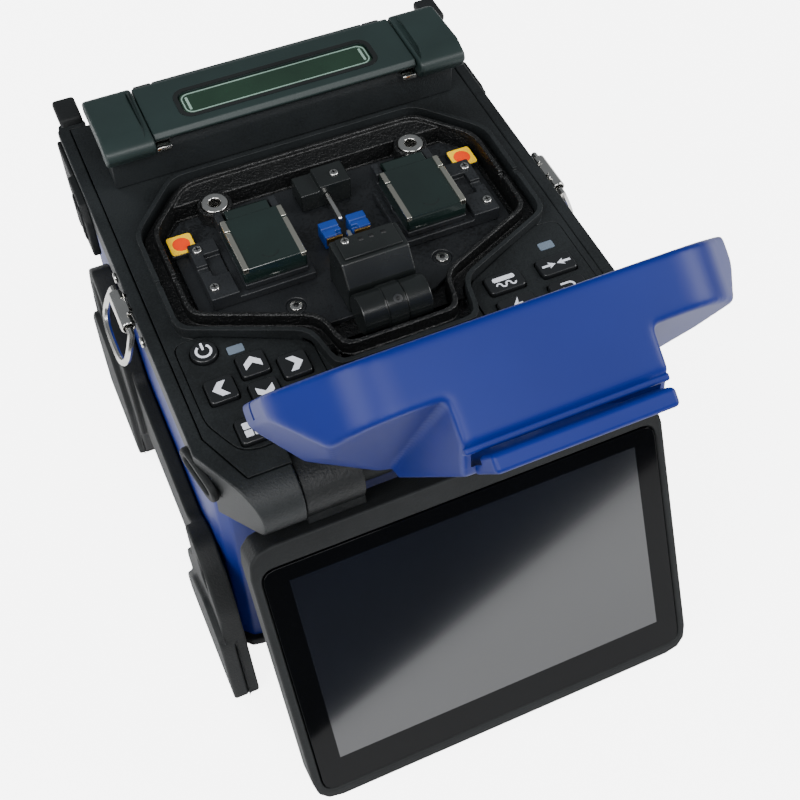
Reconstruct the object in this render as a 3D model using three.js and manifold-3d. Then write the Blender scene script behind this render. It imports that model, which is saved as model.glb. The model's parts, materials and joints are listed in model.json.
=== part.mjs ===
// Fibre fusion splicer: a bench machine whose wind cover stands open over a tilting screen.
// Millimetres, +X to the operator's right, +Y to the back, +Z up. The fibre lies along X at Y = 0.
import * as THREE from 'three';
import { mergeVertices } from 'three/addons/utils/BufferGeometryUtils.js';
import Module from 'manifold-3d';

const wasm = await Module();
wasm.setup();

// ---------------------------------------------------------------- driving dimensions
const gap = 0.3; // clearance between pieces that touch
const runningGap = 0.4; // radial clearance round a hinge pin
const pinGrip = 0.02; // a fixed pin's bore is this much over its radius plus the gap

const body = {
  halfWidth: 66, frontY: -63, backY: 79, bottom: 9, deckTop: 114, deckThick: 5,
  wall: 2.4, cornerRadius: 9,
};
const deckZ = body.deckTop;
const sideX = body.halfWidth;
const rail = { innerX: sideX - 2.3, outerX: sideX + 1.6, skirtDrop: 11, backY: 75 };
const base = { lift: 4.6, padX: 22, padY: 20, corner: 6 };
const bumper = {
  outerX: sideX + 9, lobeX: sideX + 7, waistX: sideX + 5, innerX: sideX + 0.4, footFrontY: -78,
  backY: 67, postTop: 64, lobeTop: 94,
  railTop: 54, archTop: 26,
};
const arm = {
  innerX: 44.5, axisY: -70.5, axisZ: deckZ - 11, radius: 10.5, chamferX: sideX - 9.5, chamferY: -54,
  noseX: sideX - 10, cheekY: -58,
};
const fibreZ = deckZ + 4;

const chamber = {
  rearHalf: 40, rearY: 38.5, sideHalf: 55.5, shoulderY: 21, cornerY: -16.5,
  throatHalf: 22, throatY: -31.5, tongueHalf: 19.5, tongueY: -45.5,
  lip: 1.4, channelHalf: 1.8, floorTop: deckZ - 3, floorThick: 2, channelDepth: 5,
  ledgeY: 28.6, ledgeTop: deckZ + 3, corner: 4,
};
const stagePlate = { halfX: 50, frontY: -20, backY: 26, top: deckZ - 1 };
const vGroove = { innerX: 1.6, outerX: 7.4, halfY: 3.2, top: fibreZ + 0.5, notch: 0.5 };
const electrode = { radius: 0.9, tip: 1.1, capY: 13.7 };
const cap = { halfX: 8.2, backY: 23, top: deckZ + 7.6 };
const tower = { halfX: 10.5, rearY: -14, frontY: -29.2, top: deckZ + 15, noseTop: deckZ + 9 };
const barrel = { radius: 6, halfX: 10.5, y: -35.6, z: deckZ + 5.6 };
const ring = { x: 32.6, y: 24.1, radius: 4.1, bore: 1.9, top: deckZ + 4.6 };

const stage = {
  innerX: 14, outerX: 46, frontY: -12.6, backY: 10.8, top: deckZ + 2, bracketX: 37.5,
  bracketTop: deckZ + 4.2,
};
const holder = { innerX: 15.8, outerX: 35.3, frontY: -11.4, backY: 12.8, top: deckZ + 4.3, groove: 1 };
const lid = { thick: 5.1, axisY: 15.2, axisZ: deckZ + 6.3, knuckle: 1.7, nose: 1.2 };
const stageTravel = 2;

const heater = {
  halfX: 57.5, frontY: 46, backY: 68, top: deckZ + 14.5, troughY: 53.9, troughHalf: 3.9,
  troughFloor: deckZ + 5,
  troughHalfX: 40, linerThick: 0.8, pinY: 70.3, pinZ: deckZ + 13.7, pinRadius: 1.2, knuckle: 2.4,
};
const heaterLid = {
  halfX: 43.4, frontY: 43, backY: 67.8, thick: 4.2, outerX: 59.3, wingY: 39.6, wingTop: deckZ + 21.2,
  wingDrop: 2,
  windowHalfX: 31.4, windowHalfY: 5.2, windowCorner: 3, windowThick: 2, barrelHalfX: 36,
};

const cover = {
  wall: 1.8, rimLift: 1, halfWidth: 24, wingRearTop: deckZ + 14.5, wingSlope: 0.2,
  wingEnd: deckZ + 13.2, wingBreakX: 45.5,
  wingBreak: deckZ + 19, wingTopX: 38.5, rearTop: deckZ + 23.4, top: deckZ + 32, railY: 45.4,
  railHalf: 21, railFoot: deckZ + 27.4,
  noseY: -46.4, noseTop: deckZ + 15, shoulderY: -28, axisY: -55, axisZ: deckZ + 4, pinRadius: 1.8,
  lugRadius: 3.6, lugInX: 14, lugOutX: 19.6, postOutX: 23.6, open: 125,
};
const peg = { x: 3, radius: 0.9, tip: fibreZ + 0.9 };

const screen = {
  halfWidth: 64, top: -11, bottom: -102.3, front: -8, back: 5.2, corner: 8, tilt: 28.2,
  glassHalf: 61, glassTop: -18.3, glassBottom: -98.3, glassThick: 1.1, glassCorner: 4,
  hubInX: 27, hubRadius: 9.4, pinRadius: 2.4, pinEnd: 56, sleeveRadius: 6,
};

const key = { thick: 2.2, proud: 1.6, travel: 1, corner: 1.2, size: 8.3, wide: 11.3, low: 6.8, round: 3.9 };
const panel = { thick: 1.4, proud: 0.3, corner: 3 };
const padKeys = [
  ['key_up', -42.7, -36.4], ['key_right', -32, -41.2], ['key_left', -53.6, -41.4],
  ['key_down', -42.6, -46.9], ['key_menu', -50.3, -57.2],
];
const actionKeys = [
  ['key_splice', 52, -37.8], ['key_heat', 35, -37.8], ['key_reset', 51.2, -47.4], ['key_arc', 34.6, -47.4],
];
const powerKey = { x: -53.8, y: -27 };

const dRing = {
  wire: 1.1, x: sideX + 4.1, z: deckZ - 3, y: 0.5, length: 19, drop: 14, sleeve: 2.2, lean: 20,
};
const battery = { halfX: 38, height: 30, depth: 82, bottom: 14, clearance: 0.6 };
const board = { halfX: 52, depth: 96, thick: 1.6, z: 52 };

// ---------------------------------------------------------------- finishes
const finish = (color, roughness, metalness = 0) =>
  new THREE.MeshStandardMaterial({ color, roughness, metalness });
const deckBlack = finish(0x1c1f20, 0.62);
const rubberBlack = finish(0x202223, 0.8);
const blue = finish(0x1d3c90, 0.28);
const lidGreen = finish(0x24302f, 0.5);
const windowGreen = finish(0x2c4a3d, 0.12);
const smoothBlack = finish(0x121415, 0.3);
const keyBlack = finish(0x17191a, 0.45);
const glassBlack = finish(0x05070a, 0.08);
const steel = finish(0xc4c4bc, 0.3, 1);
const darkMetal = finish(0x24282a, 0.45, 0.6);
const grooveBlue = finish(0x2f63c4, 0.4);
const circuitGreen = finish(0x1e5a38, 0.55);
const ceramic = finish(0xd4d6d8, 0.4);

// ---------------------------------------------------------------- solids
const radians = THREE.MathUtils.degToRad;

function toSolid(geometry) {
  const bare = new THREE.BufferGeometry();
  bare.setAttribute('position', geometry.getAttribute('position'));
  if (geometry.index) bare.setIndex(geometry.index);
  const merged = mergeVertices(bare, 1e-4);
  return new wasm.Manifold(new wasm.Mesh({
    numProp: 3,
    vertProperties: new Float32Array(merged.attributes.position.array),
    triVerts: new Uint32Array(merged.index.array),
  }));
}

function toGeometry(solid) {
  const mesh = solid.getMesh();
  const geometry = new THREE.BufferGeometry();
  geometry.setAttribute('position', new THREE.BufferAttribute(new Float32Array(mesh.vertProperties), 3));
  geometry.setIndex(new THREE.BufferAttribute(new Uint32Array(mesh.triVerts), 1));
  const flat = geometry.toNonIndexed();
  flat.computeVertexNormals();
  return flat;
}

const join = (...solids) => wasm.Manifold.union(solids);
const cut = (solid, ...tools) => solid.subtract(wasm.Manifold.union(tools));

function box(x0, x1, y0, y1, z0, z1) {
  const geometry = new THREE.BoxGeometry(x1 - x0, y1 - y0, z1 - z0);
  geometry.translate((x0 + x1) / 2, (y0 + y1) / 2, (z0 + z1) / 2);
  return toSolid(geometry);
}

// A cylinder along 'x', 'y' or 'z' from a to b, centred on the other two coordinates.
function rod(axis, radius, a, b, u, v, sides = 20) {
  const geometry = new THREE.CylinderGeometry(radius, radius, b - a, sides);
  if (axis === 'x') geometry.rotateZ(-Math.PI / 2).translate((a + b) / 2, u, v);
  if (axis === 'y') geometry.translate(u, (a + b) / 2, v);
  if (axis === 'z') geometry.rotateX(Math.PI / 2).translate(u, v, (a + b) / 2);
  return toSolid(geometry);
}

// An outline in X and Y raised from z0 to z1.
function prism(shape, z0, z1, arcSteps = 3) {
  const geometry = new THREE.ExtrudeGeometry(shape, { depth: z1 - z0, bevelEnabled: false, curveSegments: arcSteps });
  geometry.translate(0, 0, z0);
  return toSolid(geometry);
}

// An outline in Y and Z drawn out along X from x0 to x1.
function slab(shape, x0, x1, arcSteps = 4) {
  const geometry = new THREE.ExtrudeGeometry(shape, { depth: x1 - x0, bevelEnabled: false, curveSegments: arcSteps });
  geometry.translate(0, 0, x0);
  geometry.applyMatrix4(new THREE.Matrix4().makeBasis(
    new THREE.Vector3(0, 1, 0), new THREE.Vector3(0, 0, 1), new THREE.Vector3(1, 0, 0)));
  return toSolid(geometry);
}

// A closed outline through the corners, each rounded off by its radius where both edges are long enough.
function outline(corners, radius = 0) {
  const shape = new THREE.Shape();
  const points = corners.map(([x, y]) => new THREE.Vector2(x, y));
  points.forEach((corner, i) => {
    const before = points[(i + points.length - 1) % points.length];
    const after = points[(i + 1) % points.length];
    const room = Math.min(corner.distanceTo(before), corner.distanceTo(after)) / 2.05;
    const r = Math.min(radius, room);
    const from = corner.clone().lerp(before, r / corner.distanceTo(before));
    const to = corner.clone().lerp(after, r / corner.distanceTo(after));
    if (i === 0) shape.moveTo(from.x, from.y);
    else shape.lineTo(from.x, from.y);
    if (r > 0) shape.quadraticCurveTo(corner.x, corner.y, to.x, to.y);
  });
  shape.closePath();
  return shape;
}

// The same corners moved outwards by a distance; the corners run anticlockwise.
function grow(corners, distance) {
  const normal = (a, b) => new THREE.Vector2(b[1] - a[1], a[0] - b[0]).normalize();
  return corners.map((corner, i) => {
    const before = normal(corners[(i + corners.length - 1) % corners.length], corner);
    const after = normal(corner, corners[(i + 1) % corners.length]);
    const reach = distance / (1 + before.dot(after));
    return [corner[0] + (before.x + after.x) * reach, corner[1] + (before.y + after.y) * reach];
  });
}

const mirrored = (half) => [...half, ...half.map(([x, y]) => [-x, y]).reverse()];
const rectangle = (x0, x1, y0, y1) => [[x0, y0], [x1, y0], [x1, y1], [x0, y1]];

const splicer = new THREE.Group();

function add(name, solid, material) {
  const mesh = new THREE.Mesh(toGeometry(solid), material);
  mesh.name = name;
  splicer.add(mesh);
  return mesh;
}

// A piece built for the right side, and its mirror image for the left.
function addPair(name, build, material) {
  add(`${name}_right`, build(), material);
  add(`${name}_left`, build().mirror([1, 0, 0]), material);
}

// ---------------------------------------------------------------- shared outlines
const chamberCorners = mirrored([
  [chamber.tongueHalf, chamber.tongueY], [chamber.throatHalf, chamber.throatY],
  [chamber.sideHalf, chamber.cornerY], [chamber.sideHalf, chamber.shoulderY],
  [chamber.rearHalf, chamber.rearY],
]);
const chamberOutline = (distance) => outline(grow(chamberCorners, distance), chamber.corner);

const deckBottom = body.deckTop - body.deckThick;
const deckCorners = mirrored([
  [arm.innerX - gap, body.frontY + 5], [arm.innerX - gap, arm.axisY], [arm.chamferX, arm.axisY],
  [rail.innerX - gap, arm.chamferY], [rail.innerX - gap, body.backY],
]);

const padCorners = [
  [24.5, -34.5], [24.5, -51], [31, -60.5], [50, -63.3], [55.5, -61.6], [61, -50], [61, -21], [52.5, -20.5],
];

// ---------------------------------------------------------------- housing
function lowerShell() {
  const { halfWidth, frontY, backY, bottom, wall, cornerRadius } = body;
  const top = deckBottom - gap;
  const outer = prism(outline(rectangle(-halfWidth, halfWidth, frontY, backY), cornerRadius), bottom, top);
  const inner = prism(
    outline(rectangle(-halfWidth + wall, halfWidth - wall, frontY + wall, backY - wall), cornerRadius - wall),
    bottom + wall, top + 1);
  const hingeNotch = box(-arm.innerX - gap, arm.innerX + gap, frontY - 1, frontY + wall + 1.4,
    arm.axisZ - screen.hubRadius - 4, top + 1);
  const bay = box(-battery.halfX - battery.clearance, battery.halfX + battery.clearance,
    backY - wall - 1, backY + 1,
    battery.bottom - battery.clearance, battery.bottom + battery.height + battery.clearance);
  const portHole = box(-31, 31, backY - wall - 1, backY + 1, 62, 78);
  return cut(outer, inner, hingeNotch, bay, portHole);
}

// The black base under the shell, with a pad in the middle that stands on the bench.
function basePlate() {
  const { lift, padX, padY, corner } = base;
  const plate = prism(outline(rectangle(-sideX, sideX, body.frontY - 1, body.backY), corner), lift, body.bottom - gap);
  return join(plate, prism(outline(rectangle(-padX, padX, -padY, padY), corner), 0, lift + gap));
}

// The rubber frame down each side: splayed feet, a slim waist, a front post and a tall rear lobe.
function sideBumper() {
  const { outerX, lobeX, waistX, innerX, footFrontY, backY, postTop, lobeTop, railTop, archTop } = bumper;
  const side = outline([
    [footFrontY, 0], [-34, 0], [-26, archTop], [20, archTop], [28, 0], [backY, 0], [backY - 1, 20], [61, 46], [53, 72],
    [45, lobeTop - 8], [36, lobeTop], [27, lobeTop - 5], [24, 74], [16, railTop + 4], [-38, railTop],
    [-46, postTop - 3], [-54, postTop], [-62, postTop - 6], [-69, 44],
  ], 3);
  const frontFoot = outline([[footFrontY, 0], [-32, 0], [-30, 9], [-42, 26], [-58, 36], [footFrontY + 6, 32]], 3);
  const rearFoot = outline([[28, 0], [backY, 0], [backY - 1, 20], [61, 46], [50, 60], [36, 54], [26, 30]], 3);
  const eye = outline([[-61, 44], [-54, 44], [-54, 58], [-61, 58]], 2.9);
  const slim = outline([[-24, -1], [18, -1], [18, railTop + 12], [-43, railTop + 12], [-43, 40], [-30, 24]], 4);
  const lobeStep = outline([[30, 62], [47, 62], [44, 80], [37, 86], [31, 82]], 3);
  const frame = cut(slab(side, innerX, lobeX, 2), slab(eye, waistX - 2.5, lobeX + 1, 3),
    slab(slim, waistX, lobeX + 1, 2), slab(lobeStep, lobeX - 1.4, lobeX + 1, 2));
  return join(frame, ...[frontFoot, rearFoot].map((foot) => slab(foot, waistX - 1, outerX, 2)));
}

// The frame round the deck's edge, which runs forward into the arm that carries the screen's pin.
function sideRail() {
  const { innerX, outerX, skirtDrop, backY } = rail;
  const { axisY, axisZ, radius } = arm;
  const top = body.deckTop;
  const strip = prism(outline([
    [innerX, arm.chamferY], [outerX, arm.chamferY], [outerX, backY], [innerX, backY],
  ]), deckBottom, top);
  const skirt = box(body.halfWidth + gap, outerX, arm.chamferY, backY, top - skirtDrop, deckBottom + 1);
  const profile = new THREE.Shape();
  profile.moveTo(arm.chamferY, deckBottom);
  profile.lineTo(arm.chamferY, top);
  profile.lineTo(axisY, top);
  profile.absarc(axisY, top - radius, radius, Math.PI / 2, Math.PI * 1.16, false);
  profile.lineTo(body.frontY - gap, axisZ - radius - 1);
  profile.lineTo(body.frontY - gap, deckBottom);
  const armBlock = slab(profile, arm.innerX, outerX, 5);
  const block = rectangle(outerX - 9.6, outerX - 0.6, body.backY + gap, body.backY + 4);
  const rearBlock = prism(outline(block, 2.4), top - 18, top);
  const rearTie = box(innerX, outerX, backY - 1, body.backY + 1.2, deckBottom, top);
  const deckRoom = prism(outline(grow(deckCorners, gap)), deckBottom - 1, top + 1);
  const pinBore = rod('x', screen.pinRadius + gap + pinGrip, arm.innerX - 1, screen.pinEnd + gap, axisY, axisZ);
  const noseY = axisY - radius;
  const cheek = prism(outline([
    [outerX, arm.cheekY], [arm.noseX, noseY - 1], [arm.noseX, noseY - 9], [outerX + 9, noseY - 9],
    [outerX + 9, arm.cheekY],
  ]), axisZ - 2 * radius, top + 1);
  return cut(join(strip, skirt, armBlock, rearBlock, rearTie), deckRoom, pinBore, cheek);
}

function topDeck() {
  const plate = prism(outline(deckCorners), deckBottom, body.deckTop);
  const hole = prism(chamberOutline(chamber.channelHalf), deckBottom - 1, body.deckTop + 9);
  const lipOuter = prism(chamberOutline(chamber.channelHalf + chamber.lip), body.deckTop - 1, fibreZ);
  const pocket = outline(grow(padCorners, gap), panel.corner);
  const pocketFloor = body.deckTop - panel.thick + panel.proud - gap;
  const rightPocket = prism(pocket, pocketFloor, body.deckTop + 1);
  const slot = box(-rail.innerX, rail.innerX, -1.2, 1.2, fibreZ - 1, fibreZ + 1);
  const posts = [-1, 1].map(hingePost);
  const plain = cut(join(plate, lipOuter, ...posts), hole, rightPocket, rightPocket.mirror([1, 0, 0]), slot);
  return cut(plain, ...keyWells(), pinTunnel());
}

// One of the two ears that hold the wind cover's pin.
function hingePost(side) {
  const { lugOutX, postOutX, axisY, axisZ, lugRadius } = cover;
  const [x0, x1] = side > 0 ? [lugOutX + gap, postOutX] : [-postOutX, -lugOutX - gap];
  return join(
    rod('x', lugRadius, x0, x1, axisY, axisZ),
    box(x0, x1, body.frontY + 5, axisY + lugRadius, body.deckTop - 1, axisZ));
}

const pinTunnel = () => rod('x', cover.pinRadius + gap + pinGrip, -cover.postOutX - 1, cover.postOutX + 1,
  cover.axisY, cover.axisZ);

// The square wells that the keys sink into.
function keyWells(extra = gap) {
  const bottom = body.deckTop + key.proud - key.thick - key.travel - gap;
  const well = (x, y, w, h) => prism(
    outline(rectangle(x - w / 2 - extra, x + w / 2 + extra, y - h / 2 - extra, y + h / 2 + extra), key.corner),
    bottom, body.deckTop + 3, 2);
  return [
    ...padKeys.map(([, x, y]) => well(x, y, key.size, key.size)),
    ...actionKeys.map(([, x, y]) => well(x, y, key.wide, key.low)),
    rod('z', key.round + extra, bottom, body.deckTop + 3, powerKey.x, powerKey.y, 20),
  ];
}

function keypad() {
  return prism(outline(padCorners, panel.corner), body.deckTop + panel.proud - panel.thick, body.deckTop + panel.proud);
}

function squareKey(x, y, width, depth) {
  const top = body.deckTop + key.proud;
  return prism(outline(rectangle(x - width / 2, x + width / 2, y - depth / 2, y + depth / 2), key.corner),
    top - key.thick, top, 2);
}

function addKeypads() {
  const wells = keyWells();
  add('keypad_right', cut(keypad(), ...wells), deckBlack);
  add('keypad_left', cut(keypad().mirror([1, 0, 0]), ...wells), deckBlack);
  padKeys.forEach(([name, x, y]) => add(name, squareKey(x, y, key.size, key.size), keyBlack));
  actionKeys.forEach(([name, x, y]) => add(name, squareKey(x, y, key.wide, key.low), keyBlack));
  const top = body.deckTop + key.proud;
  add('key_power', rod('z', key.round, top - key.thick, top, powerKey.x, powerKey.y, 20), keyBlack);
}

// ---------------------------------------------------------------- splicing chamber
function chamberTray() {
  const { lip, channelHalf, floorTop, floorThick, channelDepth, ledgeY, ledgeTop, rearY } = chamber;
  const flangeTop = fibreZ - channelDepth + 1;
  const flange = prism(chamberOutline(channelHalf - gap), floorTop - floorThick, flangeTop);
  const wall = prism(chamberOutline(-channelHalf), flangeTop - 1, fibreZ + 0.5);
  const well = prism(chamberOutline(-channelHalf - lip), floorTop, fibreZ + 2);
  const ledgeRoom = box(-60, 60, ledgeY, rearY + 4, floorTop - 1, ledgeTop);
  const ledge = ledgeRoom.intersect(prism(chamberOutline(-channelHalf - lip + 0.2), floorTop - 1, ledgeTop));
  const slot = box(-60, 60, -1.2, 1.2, fibreZ - 1, fibreZ + 2);
  const ringRoom = [-1, 1].map((side) => rod('z', ring.radius + gap, floorTop, ledgeTop + 1, side * ring.x, ring.y));
  return cut(join(cut(join(flange, wall), well), ledge), slot, ...ringRoom);
}

// The black machined plate that the stages and the lens tower stand on.
function stageBase() {
  const { halfX, frontY, backY, top } = stagePlate;
  const bottom = chamber.floorTop + gap;
  const plate = prism(outline([
    [-halfX, -13], [-16, -30], [16, -30], [halfX, -13], [halfX, 20], [44, backY], [-44, backY], [-halfX, 20],
  ]), bottom, top);
  const bolts = [-1, 1].map((side) => rod('z', 3, top - 0.8, top + 1, side * 23.4, frontY + 0.3, 16));
  const rings = [-1, 1].map((side) => rod('z', ring.radius + gap, bottom - 1, top + 1, side * ring.x, ring.y));
  return cut(plate, ...bolts, ...rings);
}

function ringBushing() {
  const outer = rod('z', ring.radius, chamber.floorTop + gap, ring.top, ring.x, ring.y, 24);
  return cut(outer, rod('z', ring.bore, ring.top - 5, ring.top + 1, ring.x, ring.y, 16));
}

// A V-groove block with the fibre's groove along its top.
function vGrooveBlock() {
  const { innerX, outerX, halfY, top, notch } = vGroove;
  const block = box(innerX, outerX, -halfY, halfY, stagePlate.top + gap, top);
  const groove = slab(outline([[0, top - 2 * notch], [notch, top + 0.1], [-notch, top + 0.1]]), innerX - 1, outerX + 1);
  const step = box(innerX - 1, innerX + 2, -halfY - 1, -1.6, top - 1.4, top + 1);
  return cut(block, groove, step);
}

// An electrode rod along Y, pointed at the arc gap.
function electrodeRod(side) {
  const { radius, tip, capY } = electrode;
  const profile = [[0, tip], [radius, tip + 2.6], [radius, capY], [0, capY]].map(([x, y]) => new THREE.Vector2(x, y));
  const geometry = new THREE.LatheGeometry(profile, 12);
  geometry.translate(0, 0, fibreZ);
  const solid = toSolid(geometry);
  return side > 0 ? solid : solid.mirror([0, 1, 0]);
}

function electrodeCap() {
  const bottom = stagePlate.top + gap;
  const block = box(-cap.halfX, cap.halfX, electrode.capY + gap, cap.backY, bottom, cap.top);
  return cut(block, box(-cap.halfX - 1, -2, electrode.capY, cap.backY + 1, cap.top - 1.6, cap.top + 1));
}

// The front block that holds the objective and the lower electrode, sloping down to the lamp barrel.
function lensTower() {
  const { halfX, rearY, frontY, top, noseTop } = tower;
  const bottom = stagePlate.top + gap;
  const side = outline([
    [rearY, bottom], [rearY, top - 1], [rearY - 1, top], [frontY + 5, top], [frontY, noseTop], [frontY, bottom],
  ]);
  return slab(side, -halfX, halfX);
}

function lampBarrel() {
  const { radius, halfX, y, z } = barrel;
  const band = cut(rod('x', radius + 0.3, -3, 3, y, z, 24), rod('x', radius - 0.5, -4, 4, y, z, 24));
  const drum = join(rod('x', radius, -halfX, halfX, y, z, 24), band);
  return drum;
}

// A moving stage: a slab that carries the fibre holder, with a raised bracket at its outer end.
function fibreStage() {
  const { innerX, outerX, frontY, backY, top, bracketX, bracketTop } = stage;
  const bottom = stagePlate.top + gap;
  const slabBlock = box(innerX, outerX, frontY, backY, bottom, top);
  const bracket = box(bracketX, outerX, frontY, backY, top - 1, bracketTop);
  const pocket = box(bracketX - 1, 42.5, -3.6, 5.4, top + 0.4, bracketTop + 1);
  const fibreWay = box(bracketX - 1, outerX + 1, -1.2, 1.2, fibreZ - 1, bracketTop + 1);
  return cut(join(slabBlock, bracket), pocket, fibreWay);
}

function holderBase() {
  const { innerX, outerX, frontY, backY, top, groove } = holder;
  const bottom = stage.top + gap;
  const block = box(innerX, outerX, frontY, backY, bottom, top);
  const cheeks = [[innerX, innerX + 2.4], [outerX - 2.4, outerX]].map(([x0, x1]) =>
    box(x0, x1, backY - 1, lid.axisY + lid.knuckle, bottom, lid.axisZ + 1.4));
  return cut(join(block, ...cheeks), box(innerX - 1, outerX + 1, -groove, groove, top - 0.8, top + 1));
}

// The clamp lid of a fibre holder, with its hinge knuckle between the base's cheeks.
function holderLid() {
  const { innerX, outerX, frontY, backY, top } = holder;
  const bottom = top + gap;
  const plate = prism(outline(rectangle(innerX, outerX, frontY, backY - 2.2), 1), bottom, bottom + lid.thick, 2);
  const neck = box(innerX + 3, outerX - 3, backY - 3, lid.axisY, bottom + 1, bottom + lid.thick - 1);
  const knuckle = rod('x', lid.knuckle, innerX + 3, outerX - 3, lid.axisY, lid.axisZ, 16);
  const noseSlope = slab(outline([
    [frontY - 0.1, bottom + 2.4], [frontY + lid.nose, bottom + lid.thick + 0.1], [frontY - 0.1, bottom + lid.thick + 0.1],
  ]), innerX - 1, outerX + 1);
  return cut(join(plate, neck, knuckle), noseSlope);
}

// ---------------------------------------------------------------- heater
function heaterBase() {
  const { halfX, frontY, backY, top, troughY, troughHalf, troughFloor, troughHalfX } = heater;
  const side = outline([
    [frontY, body.deckTop + gap], [backY, body.deckTop + gap], [backY, top], [frontY + 1.5, top], [frontY, top - 4],
  ]);
  const block = slab(side, -halfX, halfX);
  const trough = box(-troughHalfX, troughHalfX, troughY - troughHalf, troughY + troughHalf, troughFloor, top + 1);
  const fibreWay = box(-halfX - 1, halfX + 1, troughY - 1, troughY + 1, top - 4, top + 1);
  const knuckleRoom = box(-heaterLid.barrelHalfX - gap, heaterLid.barrelHalfX + gap, backY - 1.6, backY + 1,
    heater.pinZ - heater.knuckle - runningGap, top + 1);
  const cheeks = [-1, 1].map((sign) => join(
    rod('x', heater.knuckle, ...span(sign, heaterLid.barrelHalfX + gap, 42), heater.pinY, heater.pinZ, 16),
    box(...span(sign, heaterLid.barrelHalfX + gap, 42), backY - 1, heater.pinY, heater.pinZ - heater.knuckle,
      heater.pinZ)));
  const bore = rod('x', heater.pinRadius + gap + pinGrip, -43, 43, heater.pinY, heater.pinZ, 16);
  const wingRoom = [-1, 1].map((sign) => box(...span(sign, heaterLid.halfX - 1, halfX + 1), frontY - 1, frontY + 1.4,
    top - heaterLid.wingDrop - gap, top + 1));
  return cut(join(block, ...cheeks), trough, fibreWay, knuckleRoom, bore, ...wingRoom);
}

const span = (sign, near, far) => (sign > 0 ? [near, far] : [-far, -near]);

function heaterTrough() {
  const { top, troughY, troughHalf, troughFloor, troughHalfX, linerThick } = heater;
  const halfX = troughHalfX - gap;
  const half = troughHalf - gap;
  const outer = box(-halfX, halfX, troughY - half, troughY + half, troughFloor + gap, top - 0.5);
  const hollow = box(-halfX - 1, halfX + 1, troughY - half + linerThick, troughY + half - linerThick,
    troughFloor + gap + linerThick, top + 1);
  return cut(outer, hollow);
}

const heaterLidBottom = heater.top + gap;

function heaterCover() {
  const { halfX, frontY, backY, thick, windowHalfX, windowHalfY, windowCorner, barrelHalfX } = heaterLid;
  const top = heaterLidBottom + thick;
  const side = outline([
    [frontY + 2.2, heaterLidBottom], [backY, heaterLidBottom], [backY, top - 0.6], [backY - 2, top],
    [frontY + 1.4, top], [frontY, top - 1.6],
  ]);
  const plate = slab(side, -halfX, halfX);
  const opening = outline(rectangle(-windowHalfX - gap, windowHalfX + gap,
    heater.troughY - windowHalfY - gap, heater.troughY + windowHalfY + gap), windowCorner);
  const knuckle = rod('x', heater.knuckle, -barrelHalfX, barrelHalfX, heater.pinY, heater.pinZ, 16);
  const tie = box(-barrelHalfX, barrelHalfX, backY - 1, heater.pinY, heaterLidBottom, heater.pinZ + heater.knuckle);
  const bore = rod('x', heater.pinRadius + runningGap, -barrelHalfX - 1, barrelHalfX + 1, heater.pinY, heater.pinZ, 16);
  return cut(join(plate, knuckle, tie), prism(opening, heaterLidBottom - 1, top + 1, 5), bore);
}

function heaterWindow() {
  const { windowHalfX, windowHalfY, windowCorner, thick, windowThick } = heaterLid;
  const shape = outline(rectangle(-windowHalfX, windowHalfX, heater.troughY - windowHalfY, heater.troughY + windowHalfY),
    windowCorner);
  const top = heaterLidBottom + thick - 0.5;
  return prism(shape, top - windowThick, top, 5);
}

// The raised wing at each end of the heater lid, which hooks down over the front of the base.
function heaterWing() {
  const { halfX, backY, outerX, wingY, wingTop, wingDrop } = heaterLid;
  const side = outline([
    [wingY + 2.4, heaterLidBottom - wingDrop], [heater.frontY + 0.6, heaterLidBottom - wingDrop],
    [heater.frontY + 0.6, heaterLidBottom], [backY, heaterLidBottom], [backY, wingTop - 2.4], [backY - 3, wingTop - 1],
    [wingY + 7, wingTop], [wingY + 1, wingTop - 2], [wingY, wingTop - 4.4],
  ]);
  const block = slab(side, halfX + gap, outerX);
  const shoulder = slab(outline([[wingY - 1, wingTop + 1], [backY + 1, wingTop + 1], [backY + 1, wingTop - 1.4],
    [wingY - 1, wingTop - 1.4]]), halfX, halfX + 2.2);
  return cut(block, shoulder);
}

// ---------------------------------------------------------------- wind cover, modelled shut and then swung open
const rimBottom = fibreZ - chamber.channelDepth + 1 + cover.rimLift;

// The cover's outside, or with an inset the room inside it.
function coverShape(inset) {
  const { halfWidth, top, noseY, noseTop, shoulderY } = cover;
  const bottom = rimBottom - (inset ? 1 : 0);
  const walls = prism(chamberOutline(cover.wall / 2 - inset), bottom, top);
  const hump = slab(outline(humpProfile(inset)), -halfWidth + inset, halfWidth - inset);
  const nose = slab(outline([
    [noseY, noseTop - inset], [shoulderY, top - inset], [shoulderY, top + 20], [noseY - 9, top + 20],
    [noseY - 9, noseTop - inset],
  ]), -30, 30);
  const shape = join(walls.intersect(wingRoom(inset)), hump.intersect(prism(chamberOutline(cover.wall / 2 - inset),
    bottom, top)));
  return cut(inset ? shape : join(shape, fingerRail()), nose);
}

// Everything below the wings' tops, which rise to the front and fall away at their outer ends.
function wingRoom(inset) {
  const { wingRearTop, wingSlope, wingEnd, wingBreakX, wingBreak, wingTopX, top } = cover;
  const low = rimBottom - 2;
  const reach = 70;
  const height = (y) => wingRearTop + (chamber.rearY + cover.wall / 2 - y) * wingSlope - inset;
  const rising = slab(outline([[-reach, low], [reach, low], [reach, height(reach)], [-reach, height(-reach)]]), -reach, reach);
  const end = chamber.sideHalf + cover.wall;
  const half = [[reach, low], [reach, wingEnd - inset], [end, wingEnd - inset], [wingBreakX, wingBreak - inset],
    [wingTopX, top - 5 - inset]];
  const falling = new THREE.ExtrudeGeometry(outline(mirrored(half)), { depth: 2 * reach, bevelEnabled: false });
  falling.rotateX(Math.PI / 2).translate(0, reach, 0);
  return rising.intersect(toSolid(falling));
}

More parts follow.
